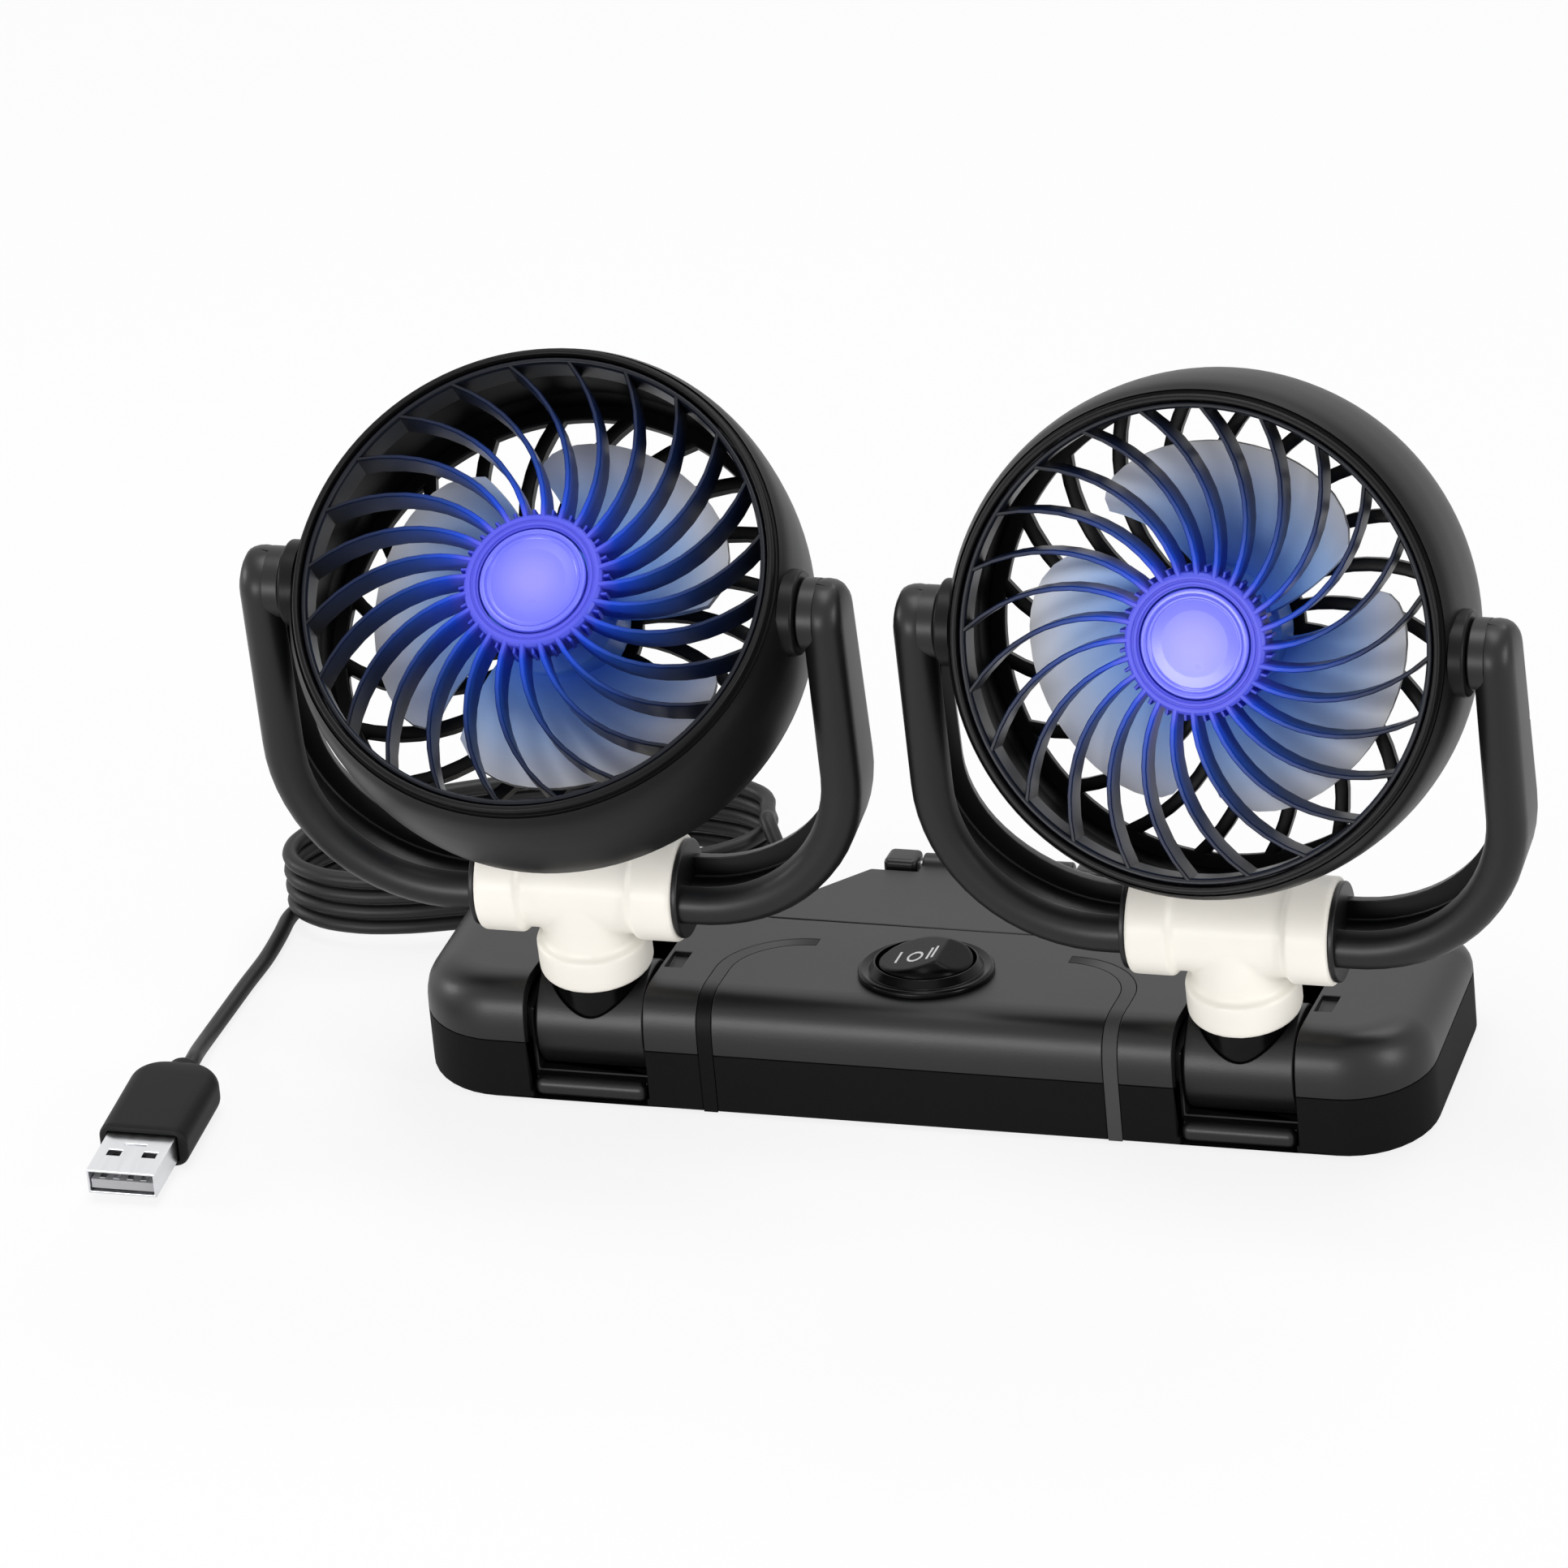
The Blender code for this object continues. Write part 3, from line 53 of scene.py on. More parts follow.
# %% Places
knuckle_x, knuckle_y, knuckle_z = 55.9, -13.5, 11.8
tee_height, tilt_height = 26.8, 84.5
slot_half = 10.4
relief_at = (-36, 25.6, 7.2)
plug_x, plug_y, plug_z = -125.8, -53.6, 3.9


def shift(x, y, z):
    return Matrix.Translation((x * mm, y * mm, z * mm))


def turn(angle, axis):
    return Matrix.Rotation(angle, 4, axis)


def linked(name, data):
    """A new object in the scene."""
    item = bpy.data.objects.new(name, data)
    bpy.context.scene.collection.objects.link(item)
    return item


print("knuckles", 2 * knuckle_x, "mm apart")

# %% [markdown]
# ## Camera
# The picture looks down on the fan from the front and a little from its right, through a long lens. The
# camera's axes were worked out from the ellipses of the two rims and the edges of the base. A matrix of
# those axes turns the camera exactly, roll and all, which a Track To constraint can't do.

# %% Camera
camera_right = Vector((0.96168, 0.26115, -0.08347))
camera_up = Vector((-0.06186, 0.50327, 0.8619))
camera_back = Vector((0.2671, -0.82372, 0.50015))
camera_at = (0.5109, -1.6523, 1.0534)
long_lens = 276.2
axes = Matrix((camera_right, camera_up, camera_back)).transposed()
camera = linked("camera", bpy.data.cameras.new("camera"))
camera.data.sensor_width = 36
camera.data.lens = long_lens
camera.data.clip_end = 20
camera.matrix_world = Matrix.Translation(camera_at) @ axes.to_4x4()
bpy.context.scene.camera = camera
print("camera", round(camera.location.length, 3), "m from the origin")

# %% [markdown]
# ## The cord's route
# The lead leaves a strain relief in the back of the base, is wound four and a half times into a flat oval
# coil, and comes forward past the base's end to its plug. A free stretch is a smooth curve through a few
# chosen places, and the coil is an oval that sinks by one cord's thickness each turn. It follows the CAD
# cord.

# %% Cord route
cord_width = 2.75 * mm
coil_turns, points_per_turn, coil_rise = 4.5, 24, 3.06 * mm


def oval_point(angle, height):
    across = 40 * mm * cos(angle)
    bump = 6 * mm * exp(-(((angle % tau - radians(276)) / radians(35)) ** 2))
    back = 17.2 * mm * sin(angle) + 0.25 * across + bump
    return Vector((-84 * mm + across, 38.5 * mm + back, height))


def coil_route():
    count = round(coil_turns * points_per_turn)
    lowest = cord_width / 2 + 0.1 * mm
    return [oval_point(tau * i / points_per_turn, lowest + coil_rise * (count - i) / points_per_turn)
            for i in range(count + 1)]


def smooth_route(places, count):
    """Points on a smooth curve through the places, evenly spread."""
    points = [Vector(place) for place in places]
    ends = [points[0] * 2 - points[1]] + points + [points[-1] * 2 - points[-2]]
    fine = []
    for a, b, c, d in zip(ends, ends[1:], ends[2:], ends[3:]):
        for i in range(12):
            t = i / 12
            fine.append((b * 2 + (c - a) * t + (a * 2 - b * 5 + c * 4 - d) * t * t
                         + (b * 3 - a - c * 3 + d) * t ** 3) / 2)
    fine.append(points[-1])
    return [fine[round(i * (len(fine) - 1) / count)] for i in range(count + 1)]


coil = coil_route()
into_coil = (coil[1] - coil[0]).normalized()
out_of_coil = (coil[-1] - coil[-2]).normalized()
cord_exit = Vector((-36, 32.4, 7.2)) * mm
plug_rear = Vector((plug_x, -28.7, plug_z)) * mm
along_base = [Vector(place) * mm for place in (
    (-124.7, 13, 1.4), (-125.6, 3, 1.4), (-126.4, -7, 1.4), (-126.8, -15, 1.7), (-126.4, -21.5, 2.9))]
one_on = Vector((0, cord_width, 0))
tail = smooth_route([cord_exit, cord_exit + one_on, coil[0] - into_coil * cord_width * 2,
                     coil[0] - into_coil * cord_width], 15)
lead = smooth_route([coil[-1] + out_of_coil * cord_width, *along_base, plug_rear + one_on, plug_rear], 18)
route = tail + coil + lead
cord_length = sum((b - a).length for a, b in zip(route, route[1:]))
print("cord:", len(route), "points,", round(cord_length, 3), "m")

# %% [markdown]
# ## Shader maths
# Written out node by node, even "1 - mask" takes several lines, so a small class wraps a socket and
# overloads the operators, and each sum adds its Math node. A second class makes every other node of a tree
# from its type, settings and inputs. A finish is such a tree with its Principled shader.

# %% Shader helpers
def operator(operation, swapped=False):
    """A method that adds one Math node."""
    def method(self, other):
        values = (other, self) if swapped else (self, other)
        return self.nodes.node("ShaderNodeMath", {"operation": operation}, dict(enumerate(values)))
    return method


class Amount:
    """A socket that can be used in sums."""
    __add__, __radd__ = operator("ADD"), operator("ADD", True)
    __sub__, __rsub__ = operator("SUBTRACT"), operator("SUBTRACT", True)
    __mul__, __pow__ = operator("MULTIPLY"), operator("POWER")

    def __init__(self, nodes, socket):
        self.nodes = nodes
        self.socket = socket

    def step(self, low, high):
        """0 below low, 1 above high and smooth between."""
        return self.nodes.node("ShaderNodeMapRange", {"interpolation_type": "SMOOTHSTEP"},
                               {0: self, 1: low, 2: high, 3: 0, 4: 1})


class Nodes:
    """A node tree that adds a node, with its settings and links, in one call."""

    def __init__(self, tree):
        self.tree = tree

    def node(self, kind, settings=None, inputs=None, output=0):
        made = self.tree.nodes.new(kind)
        for key, value in (settings or {}).items():
            if key == "stops":
                ramp = made.color_ramp
                while len(ramp.elements) < len(value):
                    ramp.elements.new(1)
                for element, (position, colour) in zip(ramp.elements, value):
                    element.position = position
                    element.color = (*colour, 1)
            else:
                setattr(made, key, value)
        for key, value in (inputs or {}).items():
            self.feed(made.inputs[key], value)
        return Amount(self, made.outputs[output])

    def feed(self, socket, value):
        if isinstance(value, Amount):
            self.tree.links.new(value.socket, socket)
        else:
            socket.default_value = value

    def blend(self, amount, first, second):
        """A colour between two colours."""
        return self.node("ShaderNodeMix", {"data_type": "RGBA"}, {0: amount, 6: first, 7: second}, output=2)

    def rays(self):
        """1 for rays from the camera, in reflections and through clear material."""
        path = self.node("ShaderNodeLightPath").socket.node
        return [Amount(self, path.outputs[f"Is {kind} Ray"]) for kind in ("Camera", "Glossy", "Transmission")]


class Finish(Nodes):
    """One material, with its Principled shader."""

    def __init__(self, name, **constants):
        self.material = bpy.data.materials.new(name)
        self.material.use_nodes = True
        super().__init__(self.material.node_tree)
        self.shader = self.tree.nodes["Principled BSDF"]
        self.put(**constants)

    def put(self, **inputs):
        """Sets or links the shader's inputs and returns the material."""
        for key, value in inputs.items():
            self.feed(self.shader.inputs[key.replace("_", " ")], value)
        return self.material

    def where(self, centre=(0, 0, 0), turned=(0, 0, 0)):
        """Object coordinates, measured from a centre in a turned frame."""
        place = self.node("ShaderNodeTexCoord", output=3)
        return self.node("ShaderNodeMapping", {"vector_type": "TEXTURE"}, {0: place, 1: centre, 2: turned})

    def across(self, at):
        """The first two coordinates of a place."""
        return [self.node("ShaderNodeSeparateXYZ", None, {0: at}, output=i) for i in (0, 1)]

    def noise(self, at, scale, detail=2, rough=0.5):
        return self.node("ShaderNodeTexNoise", None,
                         {"Vector": at, "Scale": scale, "Detail": detail, "Roughness": rough})

    def bump(self, height, strength, depth):
        return self.node("ShaderNodeBump", None, {"Strength": strength, "Distance": depth, "Height": height})


def colour(red, green, blue):
    return (red, green, blue, 1)


print("shader helpers ready")

# %% [markdown]
# ## Moulded black plastic
# Nearly all of the fan is black plastic, and each surface has its own gloss: satin on shells, forks and
# housings, matt with a spark-eroded grain on the skirt of the base, gloss on the switch, soft on the lead.
# Black is told apart by its reflections alone, so the colour stays plain and the roughness and a fine bump
# do the work: a slow noise for handling marks, a fine one for the mould's grain. The trim stripes are the
# exception: a painted reflection makes them lighter on the top and down the right front.

# %% Black plastics
near_black, deep_black = (0.0045, 0.0045, 0.0048), (0.002, 0.002, 0.0022)


def shaded(base, share):
    return colour(*(v * share for v in base))


def black_plastic(name, base, roughness, grain_size, grain_depth, spread=0.05, specular=0.2):
    """A plastic whose grain is given in millimetres."""
    finish = Finish(name, Specular_IOR_Level=specular)
    at = finish.where()
    marks = finish.noise(at, 55, 3)
    fine = finish.noise(at, 1 / (grain_size * mm), 2, 0.6)
    return finish.put(Base_Color=finish.blend(marks, shaded(base, 0.8), shaded(base, 1.25)),
                      Roughness=roughness - spread / 2 + marks * spread + fine * 0.04,
                      Normal=finish.bump(fine, 0.35, grain_depth * mm))


def trim_painted_reflection_plastic(name):
    """Smooth black, with a painted reflection that makes it lighter on the top and down the right front,
    fading out at its ends.
    """
    finish = Finish(name, Specular_IOR_Level=0.09)
    at = finish.where()
    x, y = finish.across(at)
    # Painted reflection: the top and the right front get a lighter colour for the light that the glossy
    # stripe would reflect there.
    on_top = y.step(-23 * mm, -16 * mm)
    shown = on_top * (x * x).step((21.5 * mm) ** 2, (29 * mm) ** 2)
    fine = finish.noise(at, 2500, 2)
    right = x.step(-5 * mm, 5 * mm) * (1 - on_top)
    front = finish.blend(right, colour(*deep_black), colour(0.055, 0.055, 0.056))
    return finish.put(Base_Color=finish.blend(shown, front, colour(0.085, 0.085, 0.086)),
                      Roughness=0.46 - on_top * 0.12 + fine * 0.04,
                      Normal=finish.bump(fine, 0.2, 0.006 * mm))


satin_black = black_plastic("satin_black_plastic", near_black, 0.36, 0.35, 0.012, specular=0.13)
fork_black = black_plastic("fork_black_plastic", near_black, 0.38, 0.35, 0.015, specular=0.34)
shell_black = black_plastic("fine_grained_plastic", near_black, 0.38, 0.3, 0.035, specular=0.4)
trim_black = trim_painted_reflection_plastic("trim_black_painted_reflection")
mark_white = black_plastic("white_print", (0.8, 0.8, 0.8), 0.45, 0.2, 0.002)
skirt_black = black_plastic("matt_grained_plastic", (0.004, 0.004, 0.0042), 0.6, 0.42, 0.05, specular=0.07)
gloss_black = black_plastic("gloss_black_plastic", deep_black, 0.24, 0.5, 0.002, 0.04, 0.14)
rocker_black = black_plastic("rocker_plastic", deep_black, 0.26, 0.5, 0.002, 0.04, 0.05)
soft_black = black_plastic("soft_cable_sleeve", (0.008, 0.008, 0.008), 0.44, 0.3, 0.006, specular=0.3)
grip_black = black_plastic("plug_grip_plastic", (0.006, 0.006, 0.006), 0.5, 0.3, 0.008, specular=0.14)
tongue_grey = black_plastic("tongue_plastic", (0.34, 0.34, 0.35), 0.34, 0.3, 0.004)
rubber_black = black_plastic("rubber_pad", (0.016, 0.016, 0.016), 0.78, 0.6, 0.05)
print("black surfaces, the trim, the white print and the grey tongue")

# %% [markdown]
# ## White tee, steel and the plug's metal
# The tees are cream PVC: a warm white with a faint cloudiness and the gloss of a thin coat. The USB shell
# is rolled, tinned sheet, so its roughness is streaked along the plug. Pins and screws are plain zinc
# steel.

# %% White plastic and metals
def cream_plastic(name):
    finish = Finish(name, Specular_IOR_Level=0.5, Coat_Roughness=0.12)
    at = finish.where()
    cloud = finish.noise(at, 60, 3)
    fine = finish.noise(at, 1600, 2)
    return finish.put(Base_Color=finish.blend(cloud, colour(0.8, 0.765, 0.69), colour(0.87, 0.84, 0.77)),
                      Roughness=0.42 + cloud * 0.1, Coat_Weight=0.04 + fine * 0.06,
                      Normal=finish.bump(fine, 0.25, 0.01 * mm))


def sheet_metal(name, base, roughness, streak=(900, 60, 900)):
    finish = Finish(name, Metallic=1)
    at = finish.where()
    stretched = finish.node("ShaderNodeVectorMath", {"operation": "MULTIPLY"}, {0: at, 1: streak})
    lines = finish.noise(stretched, 1, 3)
    return finish.put(Base_Color=finish.blend(lines, shaded(base, 0.85), colour(*base)),
                      Roughness=roughness - 0.05 + lines * 0.14, Normal=finish.bump(lines, 0.15, 0.01 * mm))


cream_white = cream_plastic("cream_pvc")
tinned_sheet = sheet_metal("tinned_sheet", (0.8, 0.81, 0.83), 0.2)
zinc_steel = sheet_metal("zinc_steel", (0.56, 0.56, 0.57), 0.34, (400, 400, 400))
print("cream plastic and two metals")

# %% [markdown]
# ## The blue of the heads, with a painted glow
# The grille is dark navy at its rim and turns a strong blue towards the hub, whose cap is blue-violet. The
# blades are warm grey at their tips and take the same blue at the root. That strong blue near the hub is
# painted glow: blue light from the middle of the head laid into the colours of grille and blades, and the
# cap itself glows faintly, though no lamp is in it. So the distance from the head's axis drives the colours:
# the Mapping node lays the pattern's centre along that axis.

# %% Head finishes
heads = {"left": (-1, radians(50.5)), "right": (1, radians(22))}
stem_lean = radians(5.4)
knuckle_place = {side: Matrix.Translation(Vector((sign * knuckle_x, knuckle_y, knuckle_z)) * mm)
                 @ turn(stem_lean, "X") for side, (sign, tilt) in heads.items()}
head_place = {side: knuckle_place[side] @ shift(0, 0, tilt_height) @ turn(pi / 2 - tilt - stem_lean, "X")
              for side, (sign, tilt) in heads.items()}


def axis_distance(finish, side):
    """Distance from the head's axis, and the place in the head's own frame."""
    place = head_place[side]
    at = finish.where(tuple(place.translation), tuple(place.to_euler()))
    x, y = finish.across(at)
    return (x * x + y * y) ** 0.5, at


def plastic_with_painted_glow(side, name, specular, cloud_size, detail, reach, unrest, roughness, stops):
    """A plastic whose colours go by the distance from the axis, a little disturbed by a cloud; the blue near
    the axis is painted glow.
    """
    finish = Finish(f"{side}_{name}", Specular_IOR_Level=specular)
    out, at = axis_distance(finish, side)
    cloud = finish.noise(at, cloud_size, detail)
    share = out * (1 / (reach * mm)) + cloud * unrest - unrest / 2
    finish.put(Base_Color=finish.node("ShaderNodeValToRGB", {"stops": stops}, {0: share}),
               Roughness=roughness + cloud * 0.1)
    return finish, at, cloud


def grille_plastic_painted_glow(side):
    # The strong blue of the inner stops is painted glow from the hub; the navy and near black outwards are
    # the grille's own colour.
    finish, at, cloud = plastic_with_painted_glow(side, "navy_grille_painted_glow", 0.2, 90, 2, 40, 0.1, 0.3, [
        (0.27, (0.085, 0.09, 0.62)), (0.36, (0.01, 0.055, 0.5)), (0.52, (0.006, 0.036, 0.22)),
        (0.72, (0.003, 0.011, 0.05)), (0.95, (0.003, 0.004, 0.008))])
    return finish.put(Normal=finish.bump(finish.noise(at, 2200), 0.25, 0.01 * mm))


def blade_plastic_painted_glow(side):
    # The blue of the inner stops is painted glow from the hub; the grey at the tips is the blades' own
    # colour.
    finish, at, cloud = plastic_with_painted_glow(side, "grey_blade_painted_glow", 0.45, 70, 3, 32, 0.14, 0.36, [
        (0.3, (0.085, 0.28, 1)), (0.5, (0.24, 0.49, 1)), (0.7, (0.46, 0.66, 1)),
        (0.86, (0.7, 0.77, 0.92)), (0.99, (0.78, 0.78, 0.78))])
    return finish.put(Normal=finish.bump(cloud, 0.1, 0.05 * mm))


def hub_plastic_painted_glow(side):
    # Painted glow: the emission makes the cap shine faintly blue, most in the middle, though no lamp is in
    # it.
    finish = Finish(f"{side}_blue_hub_painted_glow", Specular_IOR_Level=0.5, Coat_Roughness=0.15, Emission_Strength=0.12)
    out, at = axis_distance(finish, side)
    cloud = finish.noise(at, 120, 2)
    inward = 1 - out.step(0, 9 * mm)
    return finish.put(
        Base_Color=finish.blend(inward + cloud * 0.15, colour(0.11, 0.12, 0.66), colour(0.21, 0.2, 0.76)),
        Roughness=0.24 + cloud * 0.1, Coat_Weight=0.2 + cloud * 0.1,
        Emission_Color=finish.blend(inward, colour(0.02, 0.04, 0.6), colour(0.2, 0.2, 0.85)))


navy_grille_painted_glow = {side: grille_plastic_painted_glow(side) for side in heads}
blue_hub_painted_glow = {side: hub_plastic_painted_glow(side) for side in heads}
grey_blade_painted_glow = {side: blade_plastic_painted_glow(side) for side in heads}
print("head finishes for", list(heads))

# %% [markdown]
# ## Studio
# The fan is a cut-out on pure white. The world is white only to rays from the camera, in reflections and
# through clear material, and soft grey to all others, so the background costs no light on the object. Five
# soft lamps give black plastic its broad highlights: in front, above, behind, and one low at each side. The
# floor is a pale sheet that keeps a faint shadow.

# %% World, lamps and floor
bpy.context.scene.view_settings.view_transform = "Standard"
world = bpy.data.worlds.new("studio")
bpy.context.scene.world = world
world.use_nodes = True
sky = Nodes(world.node_tree)
camera_ray, glossy_ray, through_ray = sky.rays()
seen = sky.node("ShaderNodeMath", {"operation": "ADD", "use_clamp": True},
                {0: camera_ray + glossy_ray, 1: through_ray})
sky.feed(sky.tree.nodes["Background"].inputs["Color"],
         sky.blend(seen, colour(0.42, 0.42, 0.43), colour(1, 1, 1)))


def lamp(name, at, aim, size, power):
    data = bpy.data.lights.new(name, "AREA")
    data.shape = "RECTANGLE"
    data.size, data.size_y = size
    data.energy = power
    item = linked(name, data)
    item.location = at
    item.rotation_mode = "QUATERNION"
    item.rotation_quaternion = (Vector(aim) - Vector(at)).to_track_quat("-Z", "Y")


lamp("lamp_front", (-0.3, -1, 0.16), (0, 0, 0.04), (0.55, 0.26), 5)
lamp("lamp_above", (-0.05, -0.05, 0.95), (0, 0, 0.05), (0.6, 0.3), 4.2)
lamp("lamp_left", (-0.93, -0.12, 0.29), (-0.05, 0, 0.03), (0.2, 0.28), 2.4)
lamp("lamp_back", (0.25, 0.7, 0.95), (0, 0, 0.05), (0.6, 0.3), 3)
lamp("lamp_right", (0.93, -0.33, 0.27), (0.05, 0, 0.03), (0.2, 0.46), 3.6)


def floor_finish():
    """Pale plastic to the lamps, and mostly plain white to the rays that see it."""
    finish = Finish("pale_floor", Roughness=0.9, Specular_IOR_Level=0, Base_Color=colour(0.8, 0.8, 0.8))
    camera_ray, glossy_ray, through_ray = finish.rays()
    shown = (camera_ray + through_ray) * 0.84 + glossy_ray * 0.45
    glow = finish.node("ShaderNodeEmission", None, {"Color": colour(1, 1, 1), "Strength": 1})
    mix = finish.node("ShaderNodeMixShader", None,
                      {0: shown, 1: Amount(finish, finish.shader.outputs[0]), 2: glow})
    finish.feed(finish.tree.nodes["Material Output"].inputs["Surface"], mix)
    return finish.material


def new_piece(name, mesh, look):
    """Links a finished mesh with its material."""
    mesh.materials.append(look)
    return linked(name, mesh)


def mesh_of(shape, name):
    """A mesh from a shape, which is used up."""
    mesh = bpy.data.meshes.new(name)
    shape.to_mesh(mesh)
    shape.free()
    return mesh


sheet = bmesh.new()
bmesh.ops.create_grid(sheet, x_segments=1, y_segments=1, size=6)
floor = new_piece("floor", mesh_of(sheet, "floor"), floor_finish())
floor.location.z = -0.2 * mm
print("studio: 5 lamps, world and floor")

# %% [markdown]
# ## The cord
# A curve with a round bevel makes the cord: its own line is the centreline, so its length can be measured.
# Automatic Bezier handles pass smoothly through the route's points.

# %% Cord
curve = bpy.data.curves.new("lead", "CURVE")
curve.dimensions = "3D"
curve.bevel_depth = cord_width / 2
curve.bevel_resolution = 4
curve.use_fill_caps = True
curve.resolution_u = 4
spline = curve.splines.new("BEZIER")
spline.bezier_points.add(len(route) - 1)
for point, place in zip(spline.bezier_points, route):
    point.co = place
    point.handle_left_type = point.handle_right_type = "AUTO"
curve.materials.append(soft_black)
lead_cord = linked("lead", curve)
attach(lead_cord, "base")
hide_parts("cable_tail", "cable_coil", "cable_lead")
print("lead made,", round(cord_length, 3), "m long")

# %% [markdown]
# ## Mesh helpers
# Most of the fan is turned or lofted. `turned` spins half a section, and `rounded` softens its corners
# first, because a real moulding has no knife edge. `swept` extrudes a shape from ring to ring, `carve` cuts
# it by Booleans, and `soften` bevels whatever is sharp. `finished` smooths the shading and lets the piece
# ride on its body in place of its CAD nodes, and `on_side` does so for a piece that both fans have.

# %% Mesh helpers
merge_distance = 0.002 * mm


def rounded(corners, points=4, closed=False):
    """An outline from corners (across, up, rounding), each drawn as a small arc."""
    line = []
    count = len(corners)
    for i, (x, y, radius) in enumerate(corners):
        here = Vector((x, y))
        if radius == 0 or (not closed and i in (0, count - 1)):
            line.append(here)
            continue
        before = Vector(corners[i - 1][:2]) - here
        after = Vector(corners[(i + 1) % count][:2]) - here
        reach = min(radius / tan(before.angle(after) / 2), before.length * 0.49, after.length * 0.49)
        first, last = here + before.normalized() * reach, here + after.normalized() * reach
        pull = sin(before.angle(after) / 2)
        for k in range(points + 1):
            t = k / points
            shares = (1 - t) ** 2, 2 * t * (1 - t) * pull, t * t
            line.append((first * shares[0] + here * shares[1] + last * shares[2]) / sum(shares))
    return line


def turned(profile, steps=64, closed=False):
    """A shape spun about Z from (radius, height) points in millimetres."""
    shape = bmesh.new()
    corners = [shape.verts.new((radius * mm, 0, height * mm)) for radius, height in profile]
    edges = [shape.edges.new(pair) for pair in zip(corners, corners[1:])]
    if closed:
        edges.append(shape.edges.new((corners[-1], corners[0])))
    bmesh.ops.spin(shape, geom=corners + edges, cent=(0, 0, 0), axis=(0, 0, 1), angle=tau, steps=steps,
                   use_merge=True)
    return cleaned(shape)


def rod(radius, low, high, steps=64):
    return turned([(0, low), (radius, low), (radius, high), (0, high)], steps)


def drum(radius, low, high, low_round, high_round, steps=64):
    """A rod whose rims are rounded."""
    corners = [(0, low, 0), (radius, low, low_round), (radius, high, high_round), (0, high, 0)]
    return turned(rounded(corners), steps)


def cleaned(shape):
    bmesh.ops.remove_doubles(shape, verts=shape.verts, dist=merge_distance)
    bmesh.ops.recalc_face_normals(shape, faces=shape.faces)
    return shape


def block(low, high):
    """A box between two corners in millimetres."""
    shape = bmesh.new()
    bmesh.ops.create_cube(shape, size=1)
    low, high = Vector(low) * mm, Vector(high) * mm
    bmesh.ops.scale(shape, vec=high - low, verts=shape.verts)
    bmesh.ops.translate(shape, vec=(high + low) / 2, verts=shape.verts)
    return shape


def moved(shape, *matrices):
    for matrix in matrices:
        bmesh.ops.transform(shape, matrix=matrix, verts=shape.verts)
    return shape


def extruded(shape, face, first):
    """The far face of one step. The near face stays only where the shape begins."""
    step = bmesh.ops.extrude_face_region(shape, geom=[face])
    far = next(g for g in step["geom"] if isinstance(g, bmesh.types.BMFace))
    if not first:
        shape.faces.remove(face)
    return far


def swept(rings):
    """A closed shape through rings that have as many points each, in millimetres."""
    shape = bmesh.new()
    face = shape.faces.new([shape.verts.new(Vector(point) * mm) for point in rings[0]])
    for number, ring in enumerate(rings[1:]):
        face = extruded(shape, face, number == 0)
        for vertex, point in zip(face.verts, ring):
            vertex.co = Vector(point) * mm
    bmesh.ops.recalc_face_normals(shape, faces=shape.faces)
    return shape


def prism(outline, low, high):
    return swept([[(x, y, z) for x, y in outline] for z in (low, high)])


def soften(shape, width, segments=2, angle=35):
    """Bevels each edge that is sharper than the angle."""
    sharp = [e for e in shape.edges if len(e.link_faces) == 2 and e.calc_face_angle() > radians(angle)]
    bmesh.ops.bevel(shape, geom=sharp, offset=width * mm, offset_type="OFFSET", affect="EDGES",
                    segments=segments, profile=0.5, material=-1)
    return shape


def as_object(shape):
    return linked("working", mesh_of(shape, "working"))


def discard(item):
    mesh = item.data
    bpy.data.objects.remove(item)
    bpy.data.meshes.remove(mesh)


def read_back(item):
    """The item's mesh after its modifiers. The item is used up."""
    bpy.context.view_layer.update()
    evaluated = item.evaluated_get(bpy.context.evaluated_depsgraph_get())
    result = bmesh.new()
    result.from_mesh(evaluated.to_mesh())
    evaluated.to_mesh_clear()
    discard(item)
    return result


def carve(shape, *tools, operation="DIFFERENCE"):
    """The shape after a Boolean with each tool in turn. All of them are used up."""
    for tool in tools:
        body, cutter = as_object(shape), as_object(tool)
        step = body.modifiers.new("carve", "BOOLEAN")
        step.operation = operation
        step.solver = "EXACT"
        step.object = cutter
        shape = read_back(body)
        discard(cutter)
    return shape


def together(*shapes):
    """Several closed shapes in one mesh."""
    whole = bmesh.new()
    for shape in shapes:
        mesh = mesh_of(shape, "part")
        whole.from_mesh(mesh)
        bpy.data.meshes.remove(mesh)
    return whole


def finished(name, shape, look, body, replaces, place=None, smooth=30):
    """Makes the piece, in place, riding on its CAD body."""
    if place is not None:
        moved(shape, place)
    bmesh.ops.remove_doubles(shape, verts=shape.verts, dist=merge_distance)
    mesh = mesh_of(shape, name)
    mesh.shade_smooth()
    mesh.set_sharp_from_angle(angle=radians(smooth))
    item = new_piece(name, mesh, look)
    flat_faces = item.modifiers.new("even faces", "WEIGHTED_NORMAL")
    flat_faces.keep_sharp = True
    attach(item, body)
    if replaces:
        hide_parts(*replaces)
    print(f"{name}: {len(mesh.polygons)} faces")
    return item


def on_side(side, name, shape, look, body, node, smooth=40):
    """A finished piece of one fan. Heads and rotors are made in the head's own frame."""
    place = head_place[side] if body in ("head", "rotor") else knuckle_place[side]
    finished(f"{side}_{name}", shape, look, f"{side}_{body}", [f"{side}_{node}"], place, smooth)


along_x = turn(pi / 2, "Y")
print("mesh helpers ready")

# %% [markdown]
# ## Head housing
# Each housing is a short round drum, open at both ends, with a thin rim lip in front, a gently swelling
# side and a boss on each side for the tilt pins. A closed half section is spun, and its real roundings
# catch the light along the rim.

